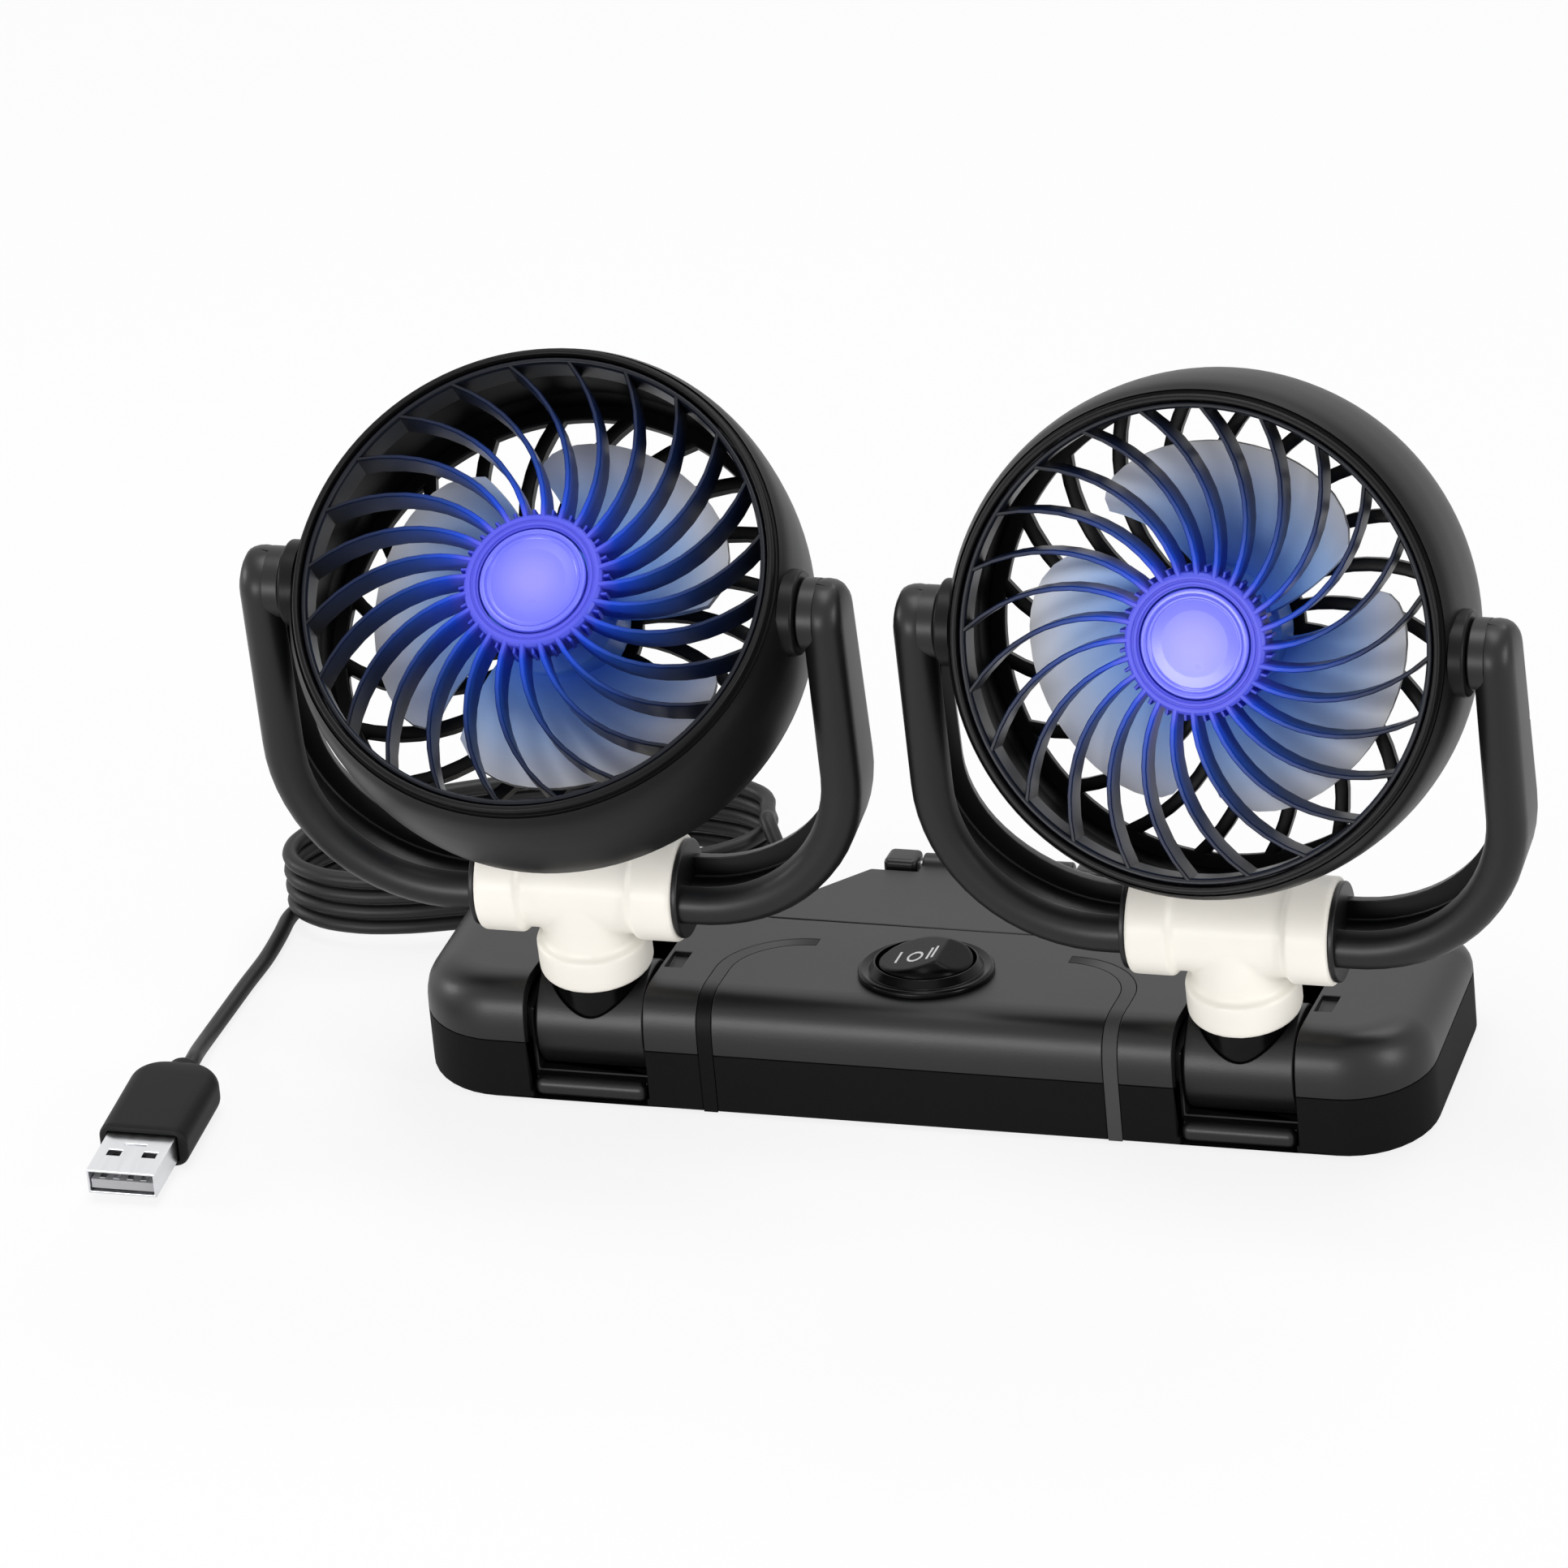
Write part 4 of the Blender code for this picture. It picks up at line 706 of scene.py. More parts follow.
# %% Housings
drum_side = [(p.x, p.z, 0) for p in smooth_route(
    [(41.25, 0, 7.2), (42.3, 0, 4.2), (42.92, 0, -1.5), (42.92, 0, -8.5),
     (42.5, 0, -13.5), (41.8, 0, -17.4)], 22)]
front_lip = [(39.6, 3.4, 0.6), (39.6, 9, 0.3), (40.6, 9, 0.4), (40.6, 6.9, 0.1), (41, 6.9, 0.1)]
housing_section = rounded(front_lip + drum_side + [
    (41.6, -18.2, 0.5), (39.9, -18.2, 0.5), (41.2, -12, 4), (41.2, 1.6, 0.8)], closed=True)
for side in heads:
    bosses = [moved(drum(7.2, 44, 41.5, 0.5, 0, 48), turn(sign * pi / 2, "Y")) for sign in (-1, 1)]
    on_side(side, "fan_housing", together(turned(housing_section, 128, True), *bosses), satin_black, "head",
            "head_housing", 50)

# %% [markdown]
# ## Front grille
# Twenty-four deep vanes sweep from a hub ring to an outer ring. One vane is enough to model: a strip that
# is extruded step by step outwards, each step turned a little further and drawn to its own thickness. A
# spin with duplicates copies it round the axis. Small ribs stand between the vane roots.

# %% Front grille
vane_count, sweep_power = 24, 1.3


def vane_strip(inner, outer, sweep_degrees, low, high, thick_root, thick_tip, steps=10):
    """One upright strip from the hub to the ring, following a growing sweep."""
    shape = bmesh.new()
    outline = ((-1, low), (1, low), (1, high - 0.25), (0.55, high), (-0.55, high), (-1, high - 0.25))
    face = shape.faces.new([shape.verts.new((inner * mm, half * thick_root / 2 * mm, height * mm))
                            for half, height in outline])
    reached, angle, width = inner, 0, thick_root
    for i in range(1, steps + 1):
        share = i / steps
        radius = inner + (outer - inner) * share
        turn_to = radians(sweep_degrees) * share ** sweep_power
        thick = thick_root + (thick_tip - thick_root) * share
        face = extruded(shape, face, i == 1)
        place = (turn(turn_to, "Z") @ shift(radius, 0, 0) @ Matrix.Diagonal((1, thick / width, 1, 1))
                 @ shift(-reached, 0, 0) @ turn(-angle, "Z"))
        bmesh.ops.transform(shape, matrix=place, verts=face.verts[:])
        reached, angle, width = radius, turn_to, thick
    bmesh.ops.recalc_face_normals(shape, faces=shape.faces)
    return shape


def around(shape, count):
    """The shape copied count times round Z."""
    bmesh.ops.spin(shape, geom=shape.verts[:] + shape.edges[:] + shape.faces[:], cent=(0, 0, 0),
                   axis=(0, 0, 1), angle=tau * (count - 1) / count, steps=count - 1, use_duplicate=True)
    return shape


ring_section = rounded([
    (38.2, 2.5, 0.2), (39.25, 2.5, 0.2), (39.25, 8.3, 0.3), (38.5, 8.3, 0.3), (38.2, 7.7, 0.2)], closed=True)
hub_section = rounded([
    (9.3, 2.5, 0.2), (11.7, 2.5, 0.3), (11.7, 7.8, 0.3), (11.2, 8.3, 0.25), (10.6, 8.3, 0.15), (10.5, 8, 0.1),
    (10.2, 8, 0.1), (10.1, 8.2, 0.1), (9.7, 8.2, 0.1), (9.6, 7.8, 0.1), (9.3, 7.8, 0.1)], closed=True)
for side in heads:
    vanes = around(vane_strip(11.2, 38.5, 30, 2.5, 8.25, 0.9, 1), vane_count)
    rib = moved(vane_strip(11.3, 12.7, 1, 4.2, 7.4, 0.7, 0.6, 2), turn(radians(8), "Z"))
    guard = together(turned(ring_section, 128, True), turned(hub_section, 64, True), vanes,
                     around(rib, vane_count))
    on_side(side, "guard", guard, navy_grille_painted_glow[side], "head", "front_grille")

# %% [markdown]
# ## Hub cap
# The cap's face has two shallow rings and a soft dome in the middle, so a section with small steps is spun.

# %% Hub caps
cap_section = rounded([
    (0, 8, 0), (5.5, 7.92, 3), (7.3, 7.75, 0.3), (7.5, 7.95, 0.12), (7.85, 7.95, 0.12), (8, 7.75, 0.12),
    (8.2, 8.15, 0.15), (8.8, 8.2, 0.2), (9, 7.9, 0.2), (9, 6.7, 0), (0, 6.7, 0)], 3)
for side in heads:
    on_side(side, "hub_disc", turned(cap_section), blue_hub_painted_glow[side], "head", "hub_cap")

# %% [markdown]
# ## Rear grille
# Twenty flat bars sweep the other way, so that from the front the two grilles cross in a lattice. They are
# made as the vanes are, only lower.

# %% Rear grille
bar_count = 20
rear_ring_section = rounded([(37.9, -17.9, 0.3), (40, -17.9, 0.1), (40.45, -15.9, 0.1), (37.9, -15.9, 0.3)],
                            closed=True)
rear_hub_section = rounded([(3.3, -17.9, 0.2), (12.6, -17.9, 0.3), (12.6, -15.9, 0.3), (3.3, -15.9, 0.2)],
                           closed=True)
for side in heads:
    bars = around(vane_strip(12.2, 38.2, -24, -17.9, -15.9, 2, 2.8), bar_count)
    guard = together(turned(rear_ring_section, 128, True), turned(rear_hub_section, 64, True), bars)
    on_side(side, "back_guard", guard, satin_black, "head", "rear_grille")

# %% [markdown]
# ## Impeller
# Three broad blades overlap like petals on a cup-shaped hub. A blade is a fine grid: each row is scaled out
# to its radius and turned by its sweep, its ends are drawn in so that the tip is round, and the pitch lifts
# one side. Solidify gives it a wall.

# %% Impellers
blade_turn = {"left": radians(38), "right": radians(68)}
blade_root, blade_reach, blade_middle = 10.7, 20.5, 8.5


def blade_grid(turn_by):
    shape = bmesh.new()
    bmesh.ops.create_grid(shape, x_segments=14, y_segments=22, size=0.5)
    for vertex in shape.verts:
        u, v = vertex.co.x + 0.5, vertex.co.y + 0.5
        u *= 1 - 0.22 * (2 * v - 1) ** 6
        radius = blade_root + blade_reach * u
        span = radians(92 + 14 * u)
        angle = radians(22) * u + span * (v - 0.5) + turn_by
        rise = (8 - 1.5 * u) * (0.5 - v)
        vertex.co = Vector((radius * cos(angle), radius * sin(angle), rise - blade_middle)) * mm
    bmesh.ops.recalc_face_normals(shape, faces=shape.faces)
    bmesh.ops.solidify(shape, geom=shape.faces[:], thickness=1 * mm)
    return cleaned(shape)


impeller_hub = rounded([(0, -3.7, 0), (8.8, -3.8, 1.4), (11.2, -5.8, 0.8), (11.2, -14, 0.3), (10.2, -14, 0.3),
                        (10.2, -5.7, 0.5), (2.5, -5.7, 0.3), (2.5, -6.4, 0), (0, -6.4, 0)])
for side in heads:
    blades = [blade_grid(blade_turn[side] + tau * i / 3) for i in range(3)]
    on_side(side, "blades", together(turned(impeller_hub), *blades), grey_blade_painted_glow[side], "rotor", "impeller")

# %% [markdown]
# ## Motors
# A small can motor sits in the middle of each rear grille and shows between its bars: drawn steel with soft
# edges and a raised bearing boss, spun from a rounded half section.

# %% Motors
can_section = rounded([(0, -6.8, 0), (3, -6.8, 0.3), (3, -7.3, 0.2), (9.4, -7.3, 1.2), (9.4, -17.4, 1.2),
                       (0, -17.4, 0)])
for side in heads:
    on_side(side, "can_motor", turned(can_section), zinc_steel, "head", "motor", 30)

# %% [markdown]
# ## Yoke arms
# Each arm leaves the tee, bends up round the head and ends in a domed finger. It is one moulding with round
# front and rear edges, a flat outside and a channel on the inside that closes upwards. A section drawn from
# two half rounds is extruded ring by ring, and each ring sets its own depth, channel and size.

# %% Arm sections
def arm_ring(side, x, up, lean, depth, channel, size=1):
    """One section across the arm: x and up place its middle, and lean tips it upright."""
    half, end = 3.5 * size, min(3.4 * size, depth * 0.96)
    line = []
    for way in (1, -1):
        angles = [radians(90 - 22.5 * k) for k in range(9)]
        arc = [(half * sin(a), way * (depth - end + end * cos(a)), 0) for a in angles]
        lip = [(-half, way * (depth - end - 0.2), 0.3), (channel - half, way * (depth - end - 0.8), 0.5)]
        line += arc + lip if way == 1 else (arc + lip)[::-1]
    outward = Vector((sin(lean), 0, -cos(lean)))
    return [Vector((side * (x + outward.x * out), deep, up + outward.z * out))
            for out, deep in rounded(line, 2, closed=True)]


bend, bend_x, bend_top, upright_x, upright = 28, 20.2, 54.8, 48.2, 29.7
open_channel, closed_channel, finger = 3.5, 0.05, 6.1


def arm_rings(side):
    """From the tee outwards, round the bend, up the finger and over its dome."""
    rings = [arm_ring(side, 17.5, tee_height, 0, 7.5, open_channel)]
    for i in range(17):
        lean = pi / 2 * i / 16
        depth = 7.6 + 0.8 * sin(lean * 2) - 1.5 * lean / pi
        rings.append(arm_ring(side, bend_x + bend * sin(lean), bend_top - bend * cos(lean), lean, depth,
                              open_channel))
    for i in range(1, 9):
        share = i / 8
        rings.append(arm_ring(side, upright_x, bend_top + upright * share, pi / 2, 6.85 - 0.75 * share,
                              closed_channel + 3.45 * (1 - share) ** 0.8))
    for i in range(1, 8):
        dome = radians(84) * i / 7
        rings.append(arm_ring(side, upright_x, tilt_height + 6.05 * sin(dome), pi / 2,
                              finger * cos(dome), closed_channel, cos(dome) ** 0.45))
    return rings


print("one arm:", len(arm_rings(1)), "sections of", len(arm_rings(1)[0]), "points")

# %% [markdown]
# The finger carries a round boss that faces the head, and a thin dark flange stands between the arm's root
# and the tee. Both are spun and laid along the fan. The outer face of the last arm has a small screw hole.

# %% Arms
for side in heads:
    for name, way in (("left", -1), ("right", 1)):
        outwards = turn(way * pi / 2, "Y")
        arm = swept(arm_rings(way))
        if (side, name) == ("right", "right"):
            arm = carve(arm, moved(rod(0.75, 50.2, 53, 20), outwards, shift(0, 4, 69.5)))
        boss = moved(drum(6, 44.2, 47, 0.4, 0, 48), outwards, shift(0, 0, tilt_height))
        flange = moved(drum(8.4, 17.15, 18.1, 0.25, 0.3), outwards, shift(0, 0, tee_height))
        on_side(side, f"fork_{name}", together(arm, boss, flange), fork_black, "yoke", f"yoke_arm_{name}",
                50)

# %% [markdown]
# ## Pipe tees
# The white tee is a PVC plumbing fitting: a run with a collar at each end and a stem with a collar below.
# Two spun shapes are joined, and a fine voxel remesh with a little smoothing rounds the joint and the
# collars' edges together, as the mould did.

# %% Tees
def melted(shape, voxel, rounds):
    """The shape remeshed in small cells and smoothed, so that its inner corners fill."""
    item = as_object(shape)
    grain = item.modifiers.new("cells", "REMESH")
    grain.mode = "VOXEL"
    grain.voxel_size = voxel * mm
    calm = item.modifiers.new("calm", "SMOOTH")
    calm.factor = 0.5
    calm.iterations = rounds
    return read_back(item)


run_section = rounded([(0, 17.1, 0), (9.1, 17.1, 0.5), (9.1, 9.9, 0.3), (8.15, 9.5, 0.3), (8.15, -9.5, 0.3),
                       (9.1, -9.9, 0.3), (9.1, -17.1, 0.5), (0, -17.1, 0)])
stem_section = rounded([(0, 26.5, 0), (8.3, 26.5, 1.5), (8.3, 16.9, 0.4), (9.6, 16.3, 0.4), (9.6, 10.3, 0.6),
                        (0, 10.3, 0)])
for side in heads:
    run = moved(turned(run_section, 96), along_x, shift(0, 0, tee_height))
    tee = melted(carve(run, turned(stem_section, 96), operation="UNION"), 0.42, 5)
    on_side(side, "pipe_tee", tee, cream_white, "yoke", "tee", 60)

# %% [markdown]
# ## Knuckles
# The barrel is a drum that lies across the base and folds on its pin, and the swivel post stands in a
# socket in it. The drum is spun along the fan, the socket is carved, and the sharp edge gets a fine bevel
# that catches light.

# %% Knuckles
post_section = rounded([(0, 20, 0), (5.8, 20, 0.5), (5.8, 15.5, 0), (7.8, 15.5, 0.5), (7.8, 3.8, 0.4),
                        (0, 3.8, 0)])
for side in heads:
    barrel = carve(moved(drum(9.2, 9.5, -9.5, 0.5, 0.5, 96), along_x), rod(8.1, 3.5, 11.5))
    on_side(side, "barrel", soften(barrel, 0.3, 2, 45), shell_black, "knuckle", "knuckle_barrel")
    on_side(side, "post", turned(post_section, 96), gloss_black, "knuckle", "swivel_post")

# %% [markdown]
# ## Cradles
# Each knuckle rests in a cradle set in the base: two cheeks for the pin, a round bed for the drum and a
# ledge in front, which shows as a light bar under a dark gap. A cylinder and two blocks are cut out of it.

# %% Cradles
for side, (sign, tilt) in heads.items():
    bed = moved(rod(9.5, 9.8, -9.8), along_x, shift(0, knuckle_y, knuckle_z))
    cradle = carve(block((-11.6, -21.5, 2.5), (11.6, -2, 16.2)), bed,
                   block((-9.8, -24, knuckle_z), (9.8, 0, 20)), block((-9.8, -24, 4.3), (9.8, knuckle_y, 20)))
    ledge = soften(block((-9.75, -25.35, 1.1), (9.75, -22.4, 4.5)), 1.35, 6)
    shelf = soften(block((-9.75, -23.6, 2.5), (9.75, -19.3, 4.1)), 0.2, 1)
    finished(f"{side}_cradle", together(soften(cradle, 0.2, 1, 40), ledge, shelf), shell_black, "base",
             [f"{side}_knuckle_cradle"], shift(sign * knuckle_x, 0, 0), 35)

# %% [markdown]
# ## The base's outer form
# The base is a long bar with round corners in plan, an upright skirt, a broad rounding and a top that
# slopes down to the back. One outline is pulled in evenly and lifted, ring by ring, along a superellipse.
# The same function gives the outside, the hollow and the thin skin that the trim lies in.

# %% Base form
top_slope = radians(7.5)
front_edge_y, front_edge_z = -17.4, 21.4
half_width, half_depth = 87, 25.6
shell_seam = 11.85


def roof(y):
    return front_edge_z - (y - front_edge_y) * tan(top_slope)


def plan(inset, height):
    """The base's outline, pulled in by an inset, at a height for each y."""
    wide, deep = half_width - inset, half_depth - inset
    front, back = max(14.5 - inset, 0.4), max(10 - inset, 0.4)
    corners = [(wide, -deep, front), (wide, deep, back), (-wide, deep, back), (-wide, -deep, front)]
    return [(x, y, height(y)) for x, y in rounded(corners, 10, True)]


def level(*rings):
    """A shape swept through flat outlines, each an inset and a height."""
    return swept([plan(inset, lambda y: height) for inset, height in rings])


def base_form(inset, bottom, steps=12):
    """The closed form of the base's top, pulled in by an inset on all sides."""
    start, power, rounding = max(shell_seam, bottom), 0.73, 8.2
    rings = [plan(inset, lambda y: bottom)]
    for i in range(steps + 1):
        angle = pi / 2 * i / steps
        share = sin(angle) ** power
        reach = rounding * (1 - max(cos(angle), 0) ** power)
        rings.append(plan(inset + reach, lambda y: start + (roof(y) - inset - start) * share))
    return swept(rings)


sloped = shift(0, 0, roof(0)) @ turn(-top_slope, "X")
switch_seat = shift(-0.6, -7.9, roof(-7.9)) @ turn(-top_slope, "X")
print("base form:", len(base_form(0, shell_seam).faces), "faces")

# %% [markdown]
# ## Trim stripes
# Two narrow smooth stripes run up the front and curl inwards on the top. Each is a real inlay in a shallow
# groove: a prism of its plan is cut with the base's own form, which leaves a curved band.

# %% Stripes
stripe_x, stripe_bend, stripe_end = 34.9, 13, 21.9


def stripe_prism(sign, half):
    """A tall prism of the stripe's plan: straight from the front, then a quarter turn inwards."""
    outer, inner = [], []
    for line, width in ((outer, half), (inner, -half)):
        line.append((sign * (stripe_x + width), -28))
        for k in range(15):
            angle = pi / 2 * k / 14
            line.append((sign * (stripe_end + (stripe_bend + width) * cos(angle)),
                         -12 + (stripe_bend + width) * sin(angle)))
    return prism(outer + inner[::-1], -1, 30)


def groove(sign):
    return carve(stripe_prism(sign, 1.3), base_form(0.35, 0))


for side, (sign, tilt) in heads.items():
    band = carve(stripe_prism(sign, 1.2), base_form(0.06, 0.7), operation="INTERSECT")
    finished(f"{side}_trim", carve(band, base_form(0.4, 0)), trim_black, "base", ())

# %% [markdown]
# ## The flap's outline
# The rear flap and the pocket that it lies in share one outline, a trapezoid with round corners. It is
# extruded square to the sloping top, a little wider for the pocket.

# %% Flap outline
def flap_prism(margin, low, high):
    half = [(34.2 + margin, 10 - margin, 2.6), (34.1 + margin, 14.2, 3), (21.33 + margin, 32.7 + margin, 0.8)]
    outline = rounded([(-x, y, r) for x, y, r in half] + half[::-1], 6, True)
    return moved(prism(outline, low, high), sloped)


print("flap outline ready")

# %% [markdown]
# ## Base top shell
# The shell is the form made hollow, then carved: the flap's pocket, the knuckles' slots, the notches that
# take the pins, the trim's grooves and the switch's hole. A small bevel draws the light lines along the
# slots. A shelf with two lugs carries the flap.

# %% Base top shell
def slot_block(sign, half, back, bottom, top):
    """A block over one knuckle's slot that runs out through the front."""
    return block((sign * knuckle_x - half, -28, bottom), (sign * knuckle_x + half, back, top))


tools = [carve(base_form(2, 9), flap_prism(2, -4.2, 4)), flap_prism(0.3, -2.1, 4)]
for sign in (-1, 1):
    middle = sign * knuckle_x
    notch = block((middle + 11.1, -12.8, roof(-9.6) - 1.2), (middle + 14.1, -6.4, 30))
    tools += [slot_block(sign, slot_half, 1, 9, 30), notch, groove(sign)]
tools.append(moved(rod(10.2, -10, 3), switch_seat))
shell = soften(carve(base_form(0, shell_seam), *tools), 0.22, 2, 40)
shelf = moved(soften(block((-19.6, 15.4, -3.8), (19.6, 34.6, -2.35)), 0.3), sloped)
lugs = [moved(soften(block((x, 34.1, -3.8), (x + 5.8, 39.6, 1.2)), 0.9, 3), sloped) for x in (-19.6, 13.8)]
finished("base_shell", together(shell, shelf, *lugs), shell_black, "base", ["base_top_shell"])

# %% [markdown]
# ## Tray
# The lower half is a tray with a grained skirt. It has a recess below for the pad, a bore for the cord's
# strain relief, and the lower ends of the slots and grooves.

# %% Tray
tools = [level((2, 2.2), (2, 14)), level((3.7, -1), (3.7, 1.3)),
         moved(rod(2.9, -6, 4, 32), turn(-pi / 2, "X"), shift(*relief_at))]
for sign in (-1, 1):
    tools += [slot_block(sign, slot_half, 1, 2.2, 15), slot_block(sign, 9.95, -22.3, 0.95, 4), groove(sign)]
tray = carve(level((0.7, 0.6), (0.2, 0.8), (0, 1.3), (0, 11.68), (0.1, 11.8)), *tools)
finished("base_tray", soften(tray, 0.15, 1, 40), skirt_black, "base", ["base_bottom_tray"])

# %% [markdown]
# ## Pad and screws
# A rubber pad lies in the recess under the tray, with four screws in holes. Their pan heads have a real
# cross recess, because the underside is looked at too.

# %% Pad and screws
screw_spots = [(-77, 6), (77, 6), (-31, -4), (31, -4)]
holes = [moved(rod(3.2, -2, 3, 32), shift(x, y, 0)) for x, y in screw_spots]
pad = carve(level((4.2, 0), (4, 0.2), (4, 1)), *holes)
finished("grip_pad", pad, rubber_black, "base", ["base_grip_pad"])
pan_head = rounded([(0, 11, 0), (1.3, 9.7, 0), (1.3, 1, 0), (2.6, 1, 0.1), (2.6, 0.35, 0.4), (0, 0.3, 0)])
for number, (x, y) in enumerate(screw_spots, 1):
    cross = [block((-high, -wide, -0.5), (high, wide, 0.85)) for high, wide in ((1.5, 0.28), (0.28, 1.5))]
    finished(f"screw_{number}", carve(turned(pan_head, 32), *cross), zinc_steel, "base",
             [f"base_screw_{number}"], shift(x, y, 0))

# %% [markdown]
# ## Rear flap
# The flap lies flush in the top and hangs over the rear edge, where its barrel turns on a pin between the
# lugs. Its plan is extruded, its edges are softened, and the barrel is spun along the hinge.

# %% Flap
plate = soften(moved(flap_prism(0, -1.8, 0), sloped.inverted()), 0.3, 3, 40)
web = soften(block((-13.1, 31, -1.78), (13.1, 37.4, -0.02)), 0.2)
hinge = moved(drum(2.2, 13.15, -13.15, 0.4, 0.4, 40), along_x, shift(0, 37.4, -0.9))
finished("flap", together(plate, web, hinge), shell_black, "flap", ["rear_flap"], sloped)

# %% [markdown]
# ## Rocker switch
# A round rocker switch: a flange on the base's top, a collar, and a rocker that is a low wedge cut from a
# turned body. A fine remesh rounds the rocker's edges. Both are glossy.

# %% Switch
switch_section = rounded([
    (0, -6, 0), (8.5, -6, 0.3), (8.5, 2.3, 0.2), (8.75, 2.3, 0.25), (9.7, 0.9, 0.2), (11.1, 1.3, 0.5),
    (11.5, 0.8, 0.4), (11.5, 0.05, 0.15), (9.9, 0.05, 0), (9.9, -10, 0), (0, -10, 0)], 3)
finished("switch_body", turned(switch_section, 96), gloss_black, "base", ["switch_housing"],
         switch_seat, 35)
rocker_edge = [(-8.2, 2), (3, 4.3), (8.2, 2)]
profile = [(-16, -5), (16, -5), (16, -3)] + rocker_edge[::-1] + [(-16, -3)]
wedge = swept([[(x, y, z) for x, z in profile] for y in (-16, 16)])
dome = turned(rounded([(0, 4.9, 0), (5, 4.7, 5), (7.9, 3, 1.5), (8.2, 1, 0.3), (8.2, -1.2, 0), (7.2, -3, 0),
                       (0, -3, 0)]), 72)
rocker = melted(carve(dome, wedge, operation="INTERSECT"), 0.25, 16)
finished("rocker", rocker, rocker_black, "rocker", ["switch_rocker"], switch_seat)

# %% [markdown]
# ## Marks
# The marks I, O and II are printed white, the usual marks for low, off and high. They are thin flat shapes
# on the rocker's long slope: bars for the strokes, and a spun ring drawn out to an oval.

# %% Marks
(low, low_z), (ridge, ridge_z) = rocker_edge[:2]
slope_up = atan2(ridge_z - low_z, ridge - low)
mark_x = -0.6
mark_place = Vector((mark_x, -1.2, low_z + (mark_x - low) * tan(slope_up))) * mm
on_slope = switch_seat @ Matrix.Translation(mark_place) @ turn(-slope_up, "Y")
strokes = [soften(block((x - 0.2, y - long, -0.3), (x + 0.2, y + long, 0.08)), 0.04, 1)
           for x, y, long in ((-3.85, 0, 2.2), (1.65, 0.1, 2.3), (2.45, 0.6, 2.3))]
ring_line = rounded([(1, -0.3, 0.02), (1.38, -0.3, 0.02), (1.38, 0.08, 0.02), (1, 0.08, 0.02)], 1, True)
ring_mark = turned(ring_line, 32, True)
bmesh.ops.scale(ring_mark, vec=(1, 1.45, 1), verts=ring_mark.verts)
bmesh.ops.translate(ring_mark, vec=(-0.75 * mm, -0.6 * mm, 0), verts=ring_mark.verts)
finished("switch_marks", together(*strokes, ring_mark), mark_white, "rocker", (), on_slope)

# %% [markdown]
# ## Strain relief
# The lead leaves the back through a small ribbed sleeve. A section with grooves is spun and laid backwards.

# %% Strain relief
sleeve = [(0, 6.5, 0), (1.75, 6.5, 0.2), (1.95, 5.6, 0.1), (1.6, 5.4, 0.1), (1.6, 5, 0.1), (2.2, 4.8, 0.1),
          (2.3, 4, 0.1), (1.8, 3.8, 0.1), (1.8, 3.4, 0.1), (2.5, 3.2, 0.1), (2.6, 2.4, 0.2), (3.6, 2.2, 0.3),
          (3.6, 0.3, 0.2), (2.6, 0.3, 0), (2.6, -2, 0), (0, -2, 0)]
finished("lead_sleeve", turned(rounded(sleeve, 2), 40), soft_black, "base", ["cable_strain_relief"],
         shift(*relief_at) @ turn(-pi / 2, "X"), 35)

# %% [markdown]
# ## USB plug
# The plug is a soft moulded grip round a folded tin shell. The grip is swept from rounded sections that
# draw in at both ends, with a wide curve at the rear, and a turned nose takes the cord.

# %% Plug grip
grip_corner = 4.6


def grip_ring(y, inset, end=0):
    """One section across the grip; end is the angle along its round rear corners."""
    wide = 7.8 - grip_corner * (1 - cos(end)) - inset
    high = 3.8 - 0.9 * (1 - cos(end)) - inset
    corners = ((wide, -high), (wide, high), (-wide, high), (-wide, -high))
    return [(x, y, z) for x, z in rounded([(*corner, 2.8) for corner in corners], 8, True)]


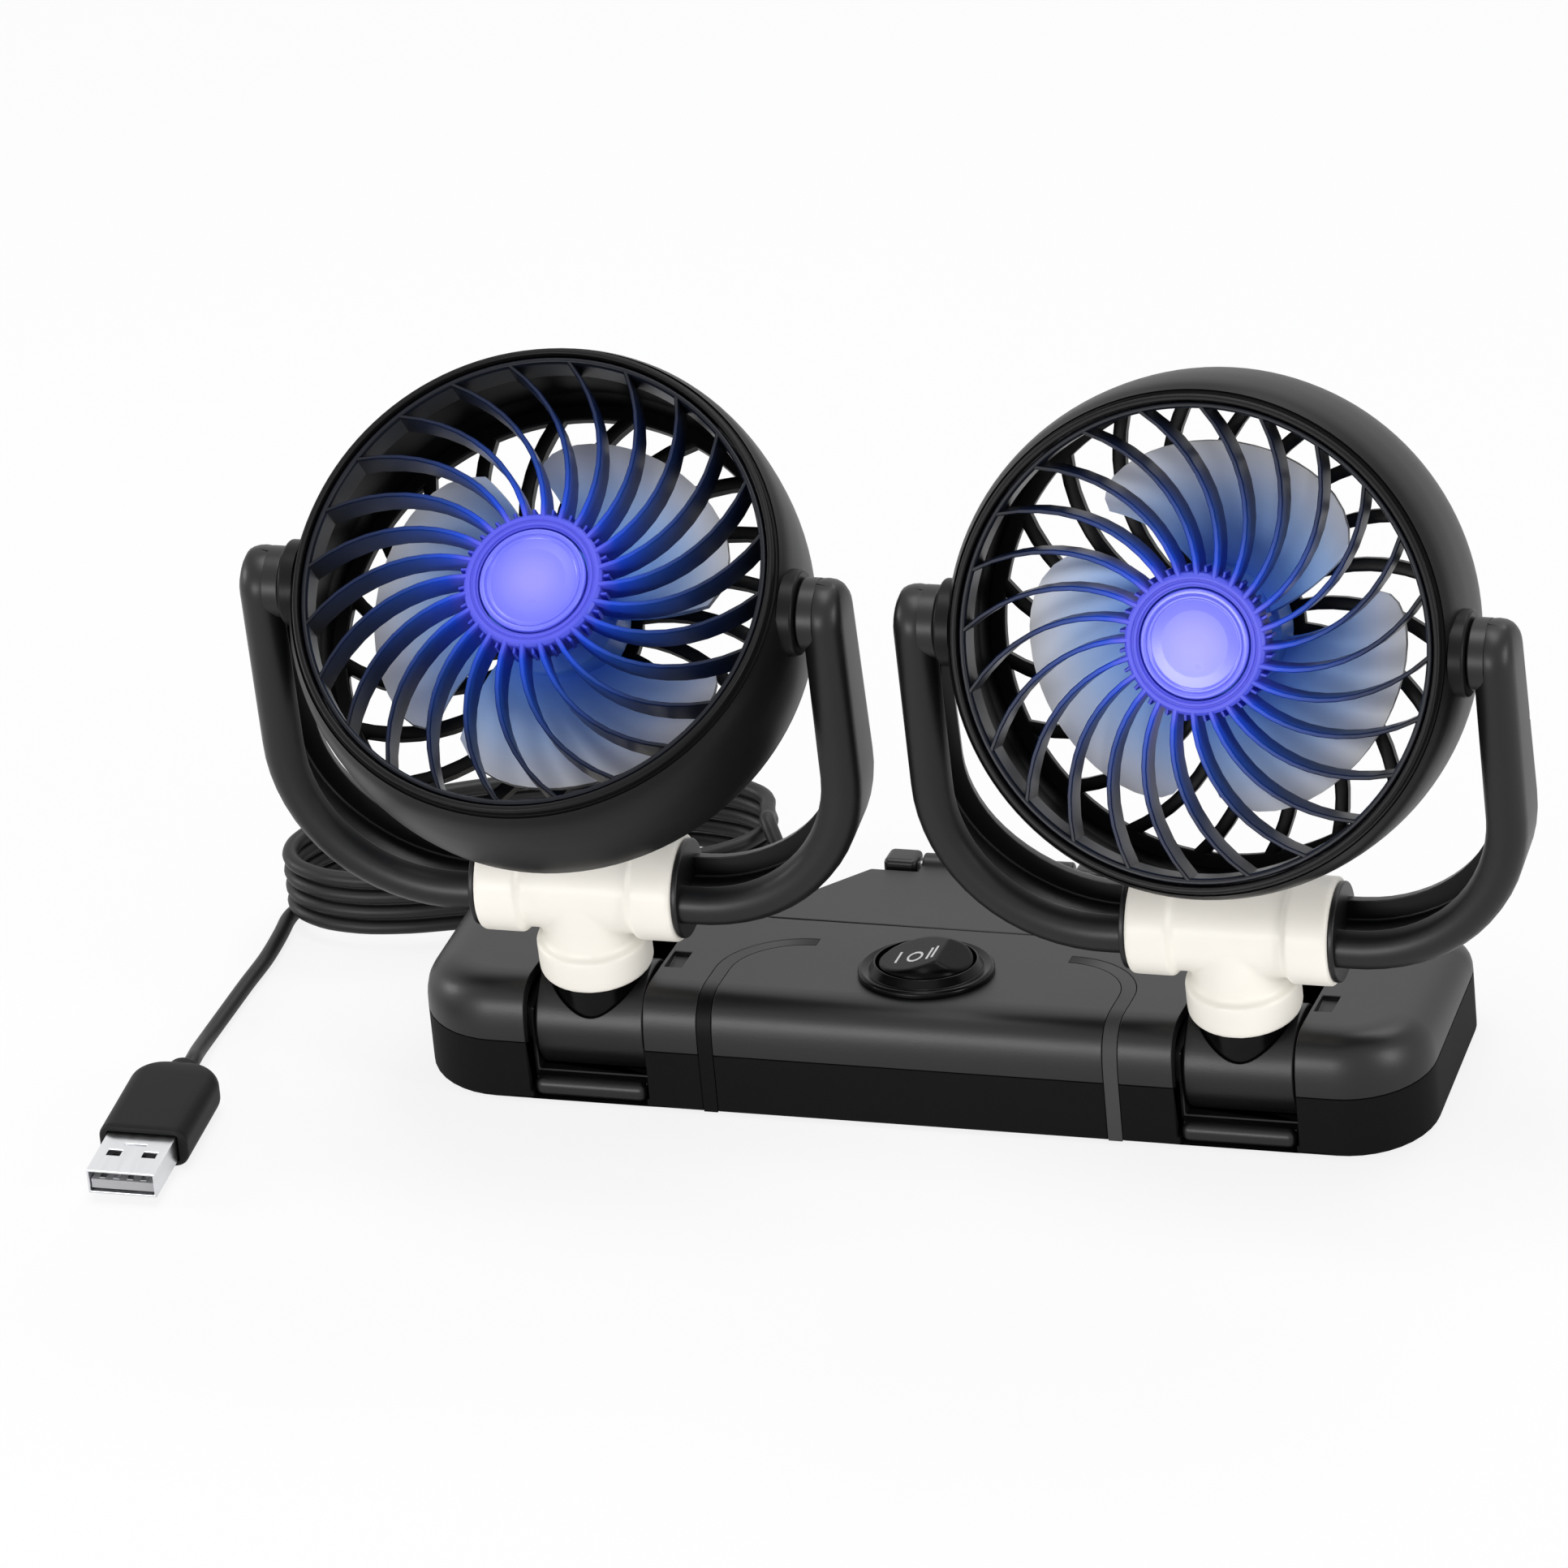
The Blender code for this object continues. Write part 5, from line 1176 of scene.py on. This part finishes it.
rings = [grip_ring(0, 0.7), grip_ring(0.2, 0.25), grip_ring(0.7, 0)]
rings += [grip_ring(17.4 + grip_corner * sin(radians(a)), 0, radians(a)) for a in range(0, 90, 8)]
rings.append(grip_ring(22, 0.4, radians(88)))
grip = carve(swept(rings), soften(block((-6.3, -3, -2.6), (6.3, 1.2, 2.6)), 0.5, 2))
nose = rounded([(0, 24.6, 0), (2.4, 24.6, 0.9), (3.1, 23.4, 0.6), (3.1, 21, 0), (0, 21, 0)])
nose = moved(turned(nose, 48), turn(-pi / 2, "X"))
plug_place = Matrix.Translation(Vector((plug_x, plug_y, plug_z)) * mm)
plug_grip = finished("plug_grip", together(grip, nose), grip_black, "base", ["usb_plug_grip"],
                     plug_place, 40)

# %% [markdown]
# ## The plug's metal
# The shell is a thin tube with two windows and a small slot, and inside it a grey tongue carries four
# tinned contacts. All are boxes with softened edges.

# %% Plug shell, tongue and contacts
windows = [block((x - 1.2, -6.8, 0), (x + 1.2, -4.9, 4)) for x in (-2.9, 3.3)]
tube = carve(block((-6, -11.8, -2.25), (6, 2, 2.25)), block((-5.6, -14, -1.85), (5.6, 1.6, 1.85)), *windows,
             block((-1.9, -3.4, 1.9), (1.9, -2.8, 4)))
plug_shell = finished("plug_shell", soften(tube, 0.12, 2, 40), tinned_sheet, "base", ["usb_plug_shell"],
                      plug_place)
tongue = soften(block((-5.5, -11.3, -1.5), (5.5, 1.3, 0.25)), 0.12, 2)
plug_tongue = finished("plug_tongue", tongue, tongue_grey, "base", ["usb_plug_tongue"],
                       plug_place)
pads = [soften(block((x - 0.55, -10.9, 0.2), (x + 0.55, -3.5, 0.4)), 0.05, 1) for x in (-3.6, -1.2, 1.2, 3.6)]
plug_contacts = finished("plug_contacts", together(*pads), tinned_sheet, "base", (),
                         plug_place)

# %% [markdown]
# ## What stays CAD
# The pins, the motor shafts and the board inside the base are only glimpsed, so they keep their CAD shape
# and take a worked material.

# %% CAD nodes with better materials
for name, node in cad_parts.items():
    if not node.hide_render:
        node.data.materials.clear()
        node.data.materials.append(rubber_black if name == "speed_board" else zinc_steel)
print("CAD nodes kept:", [name for name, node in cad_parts.items() if not node.hide_render])
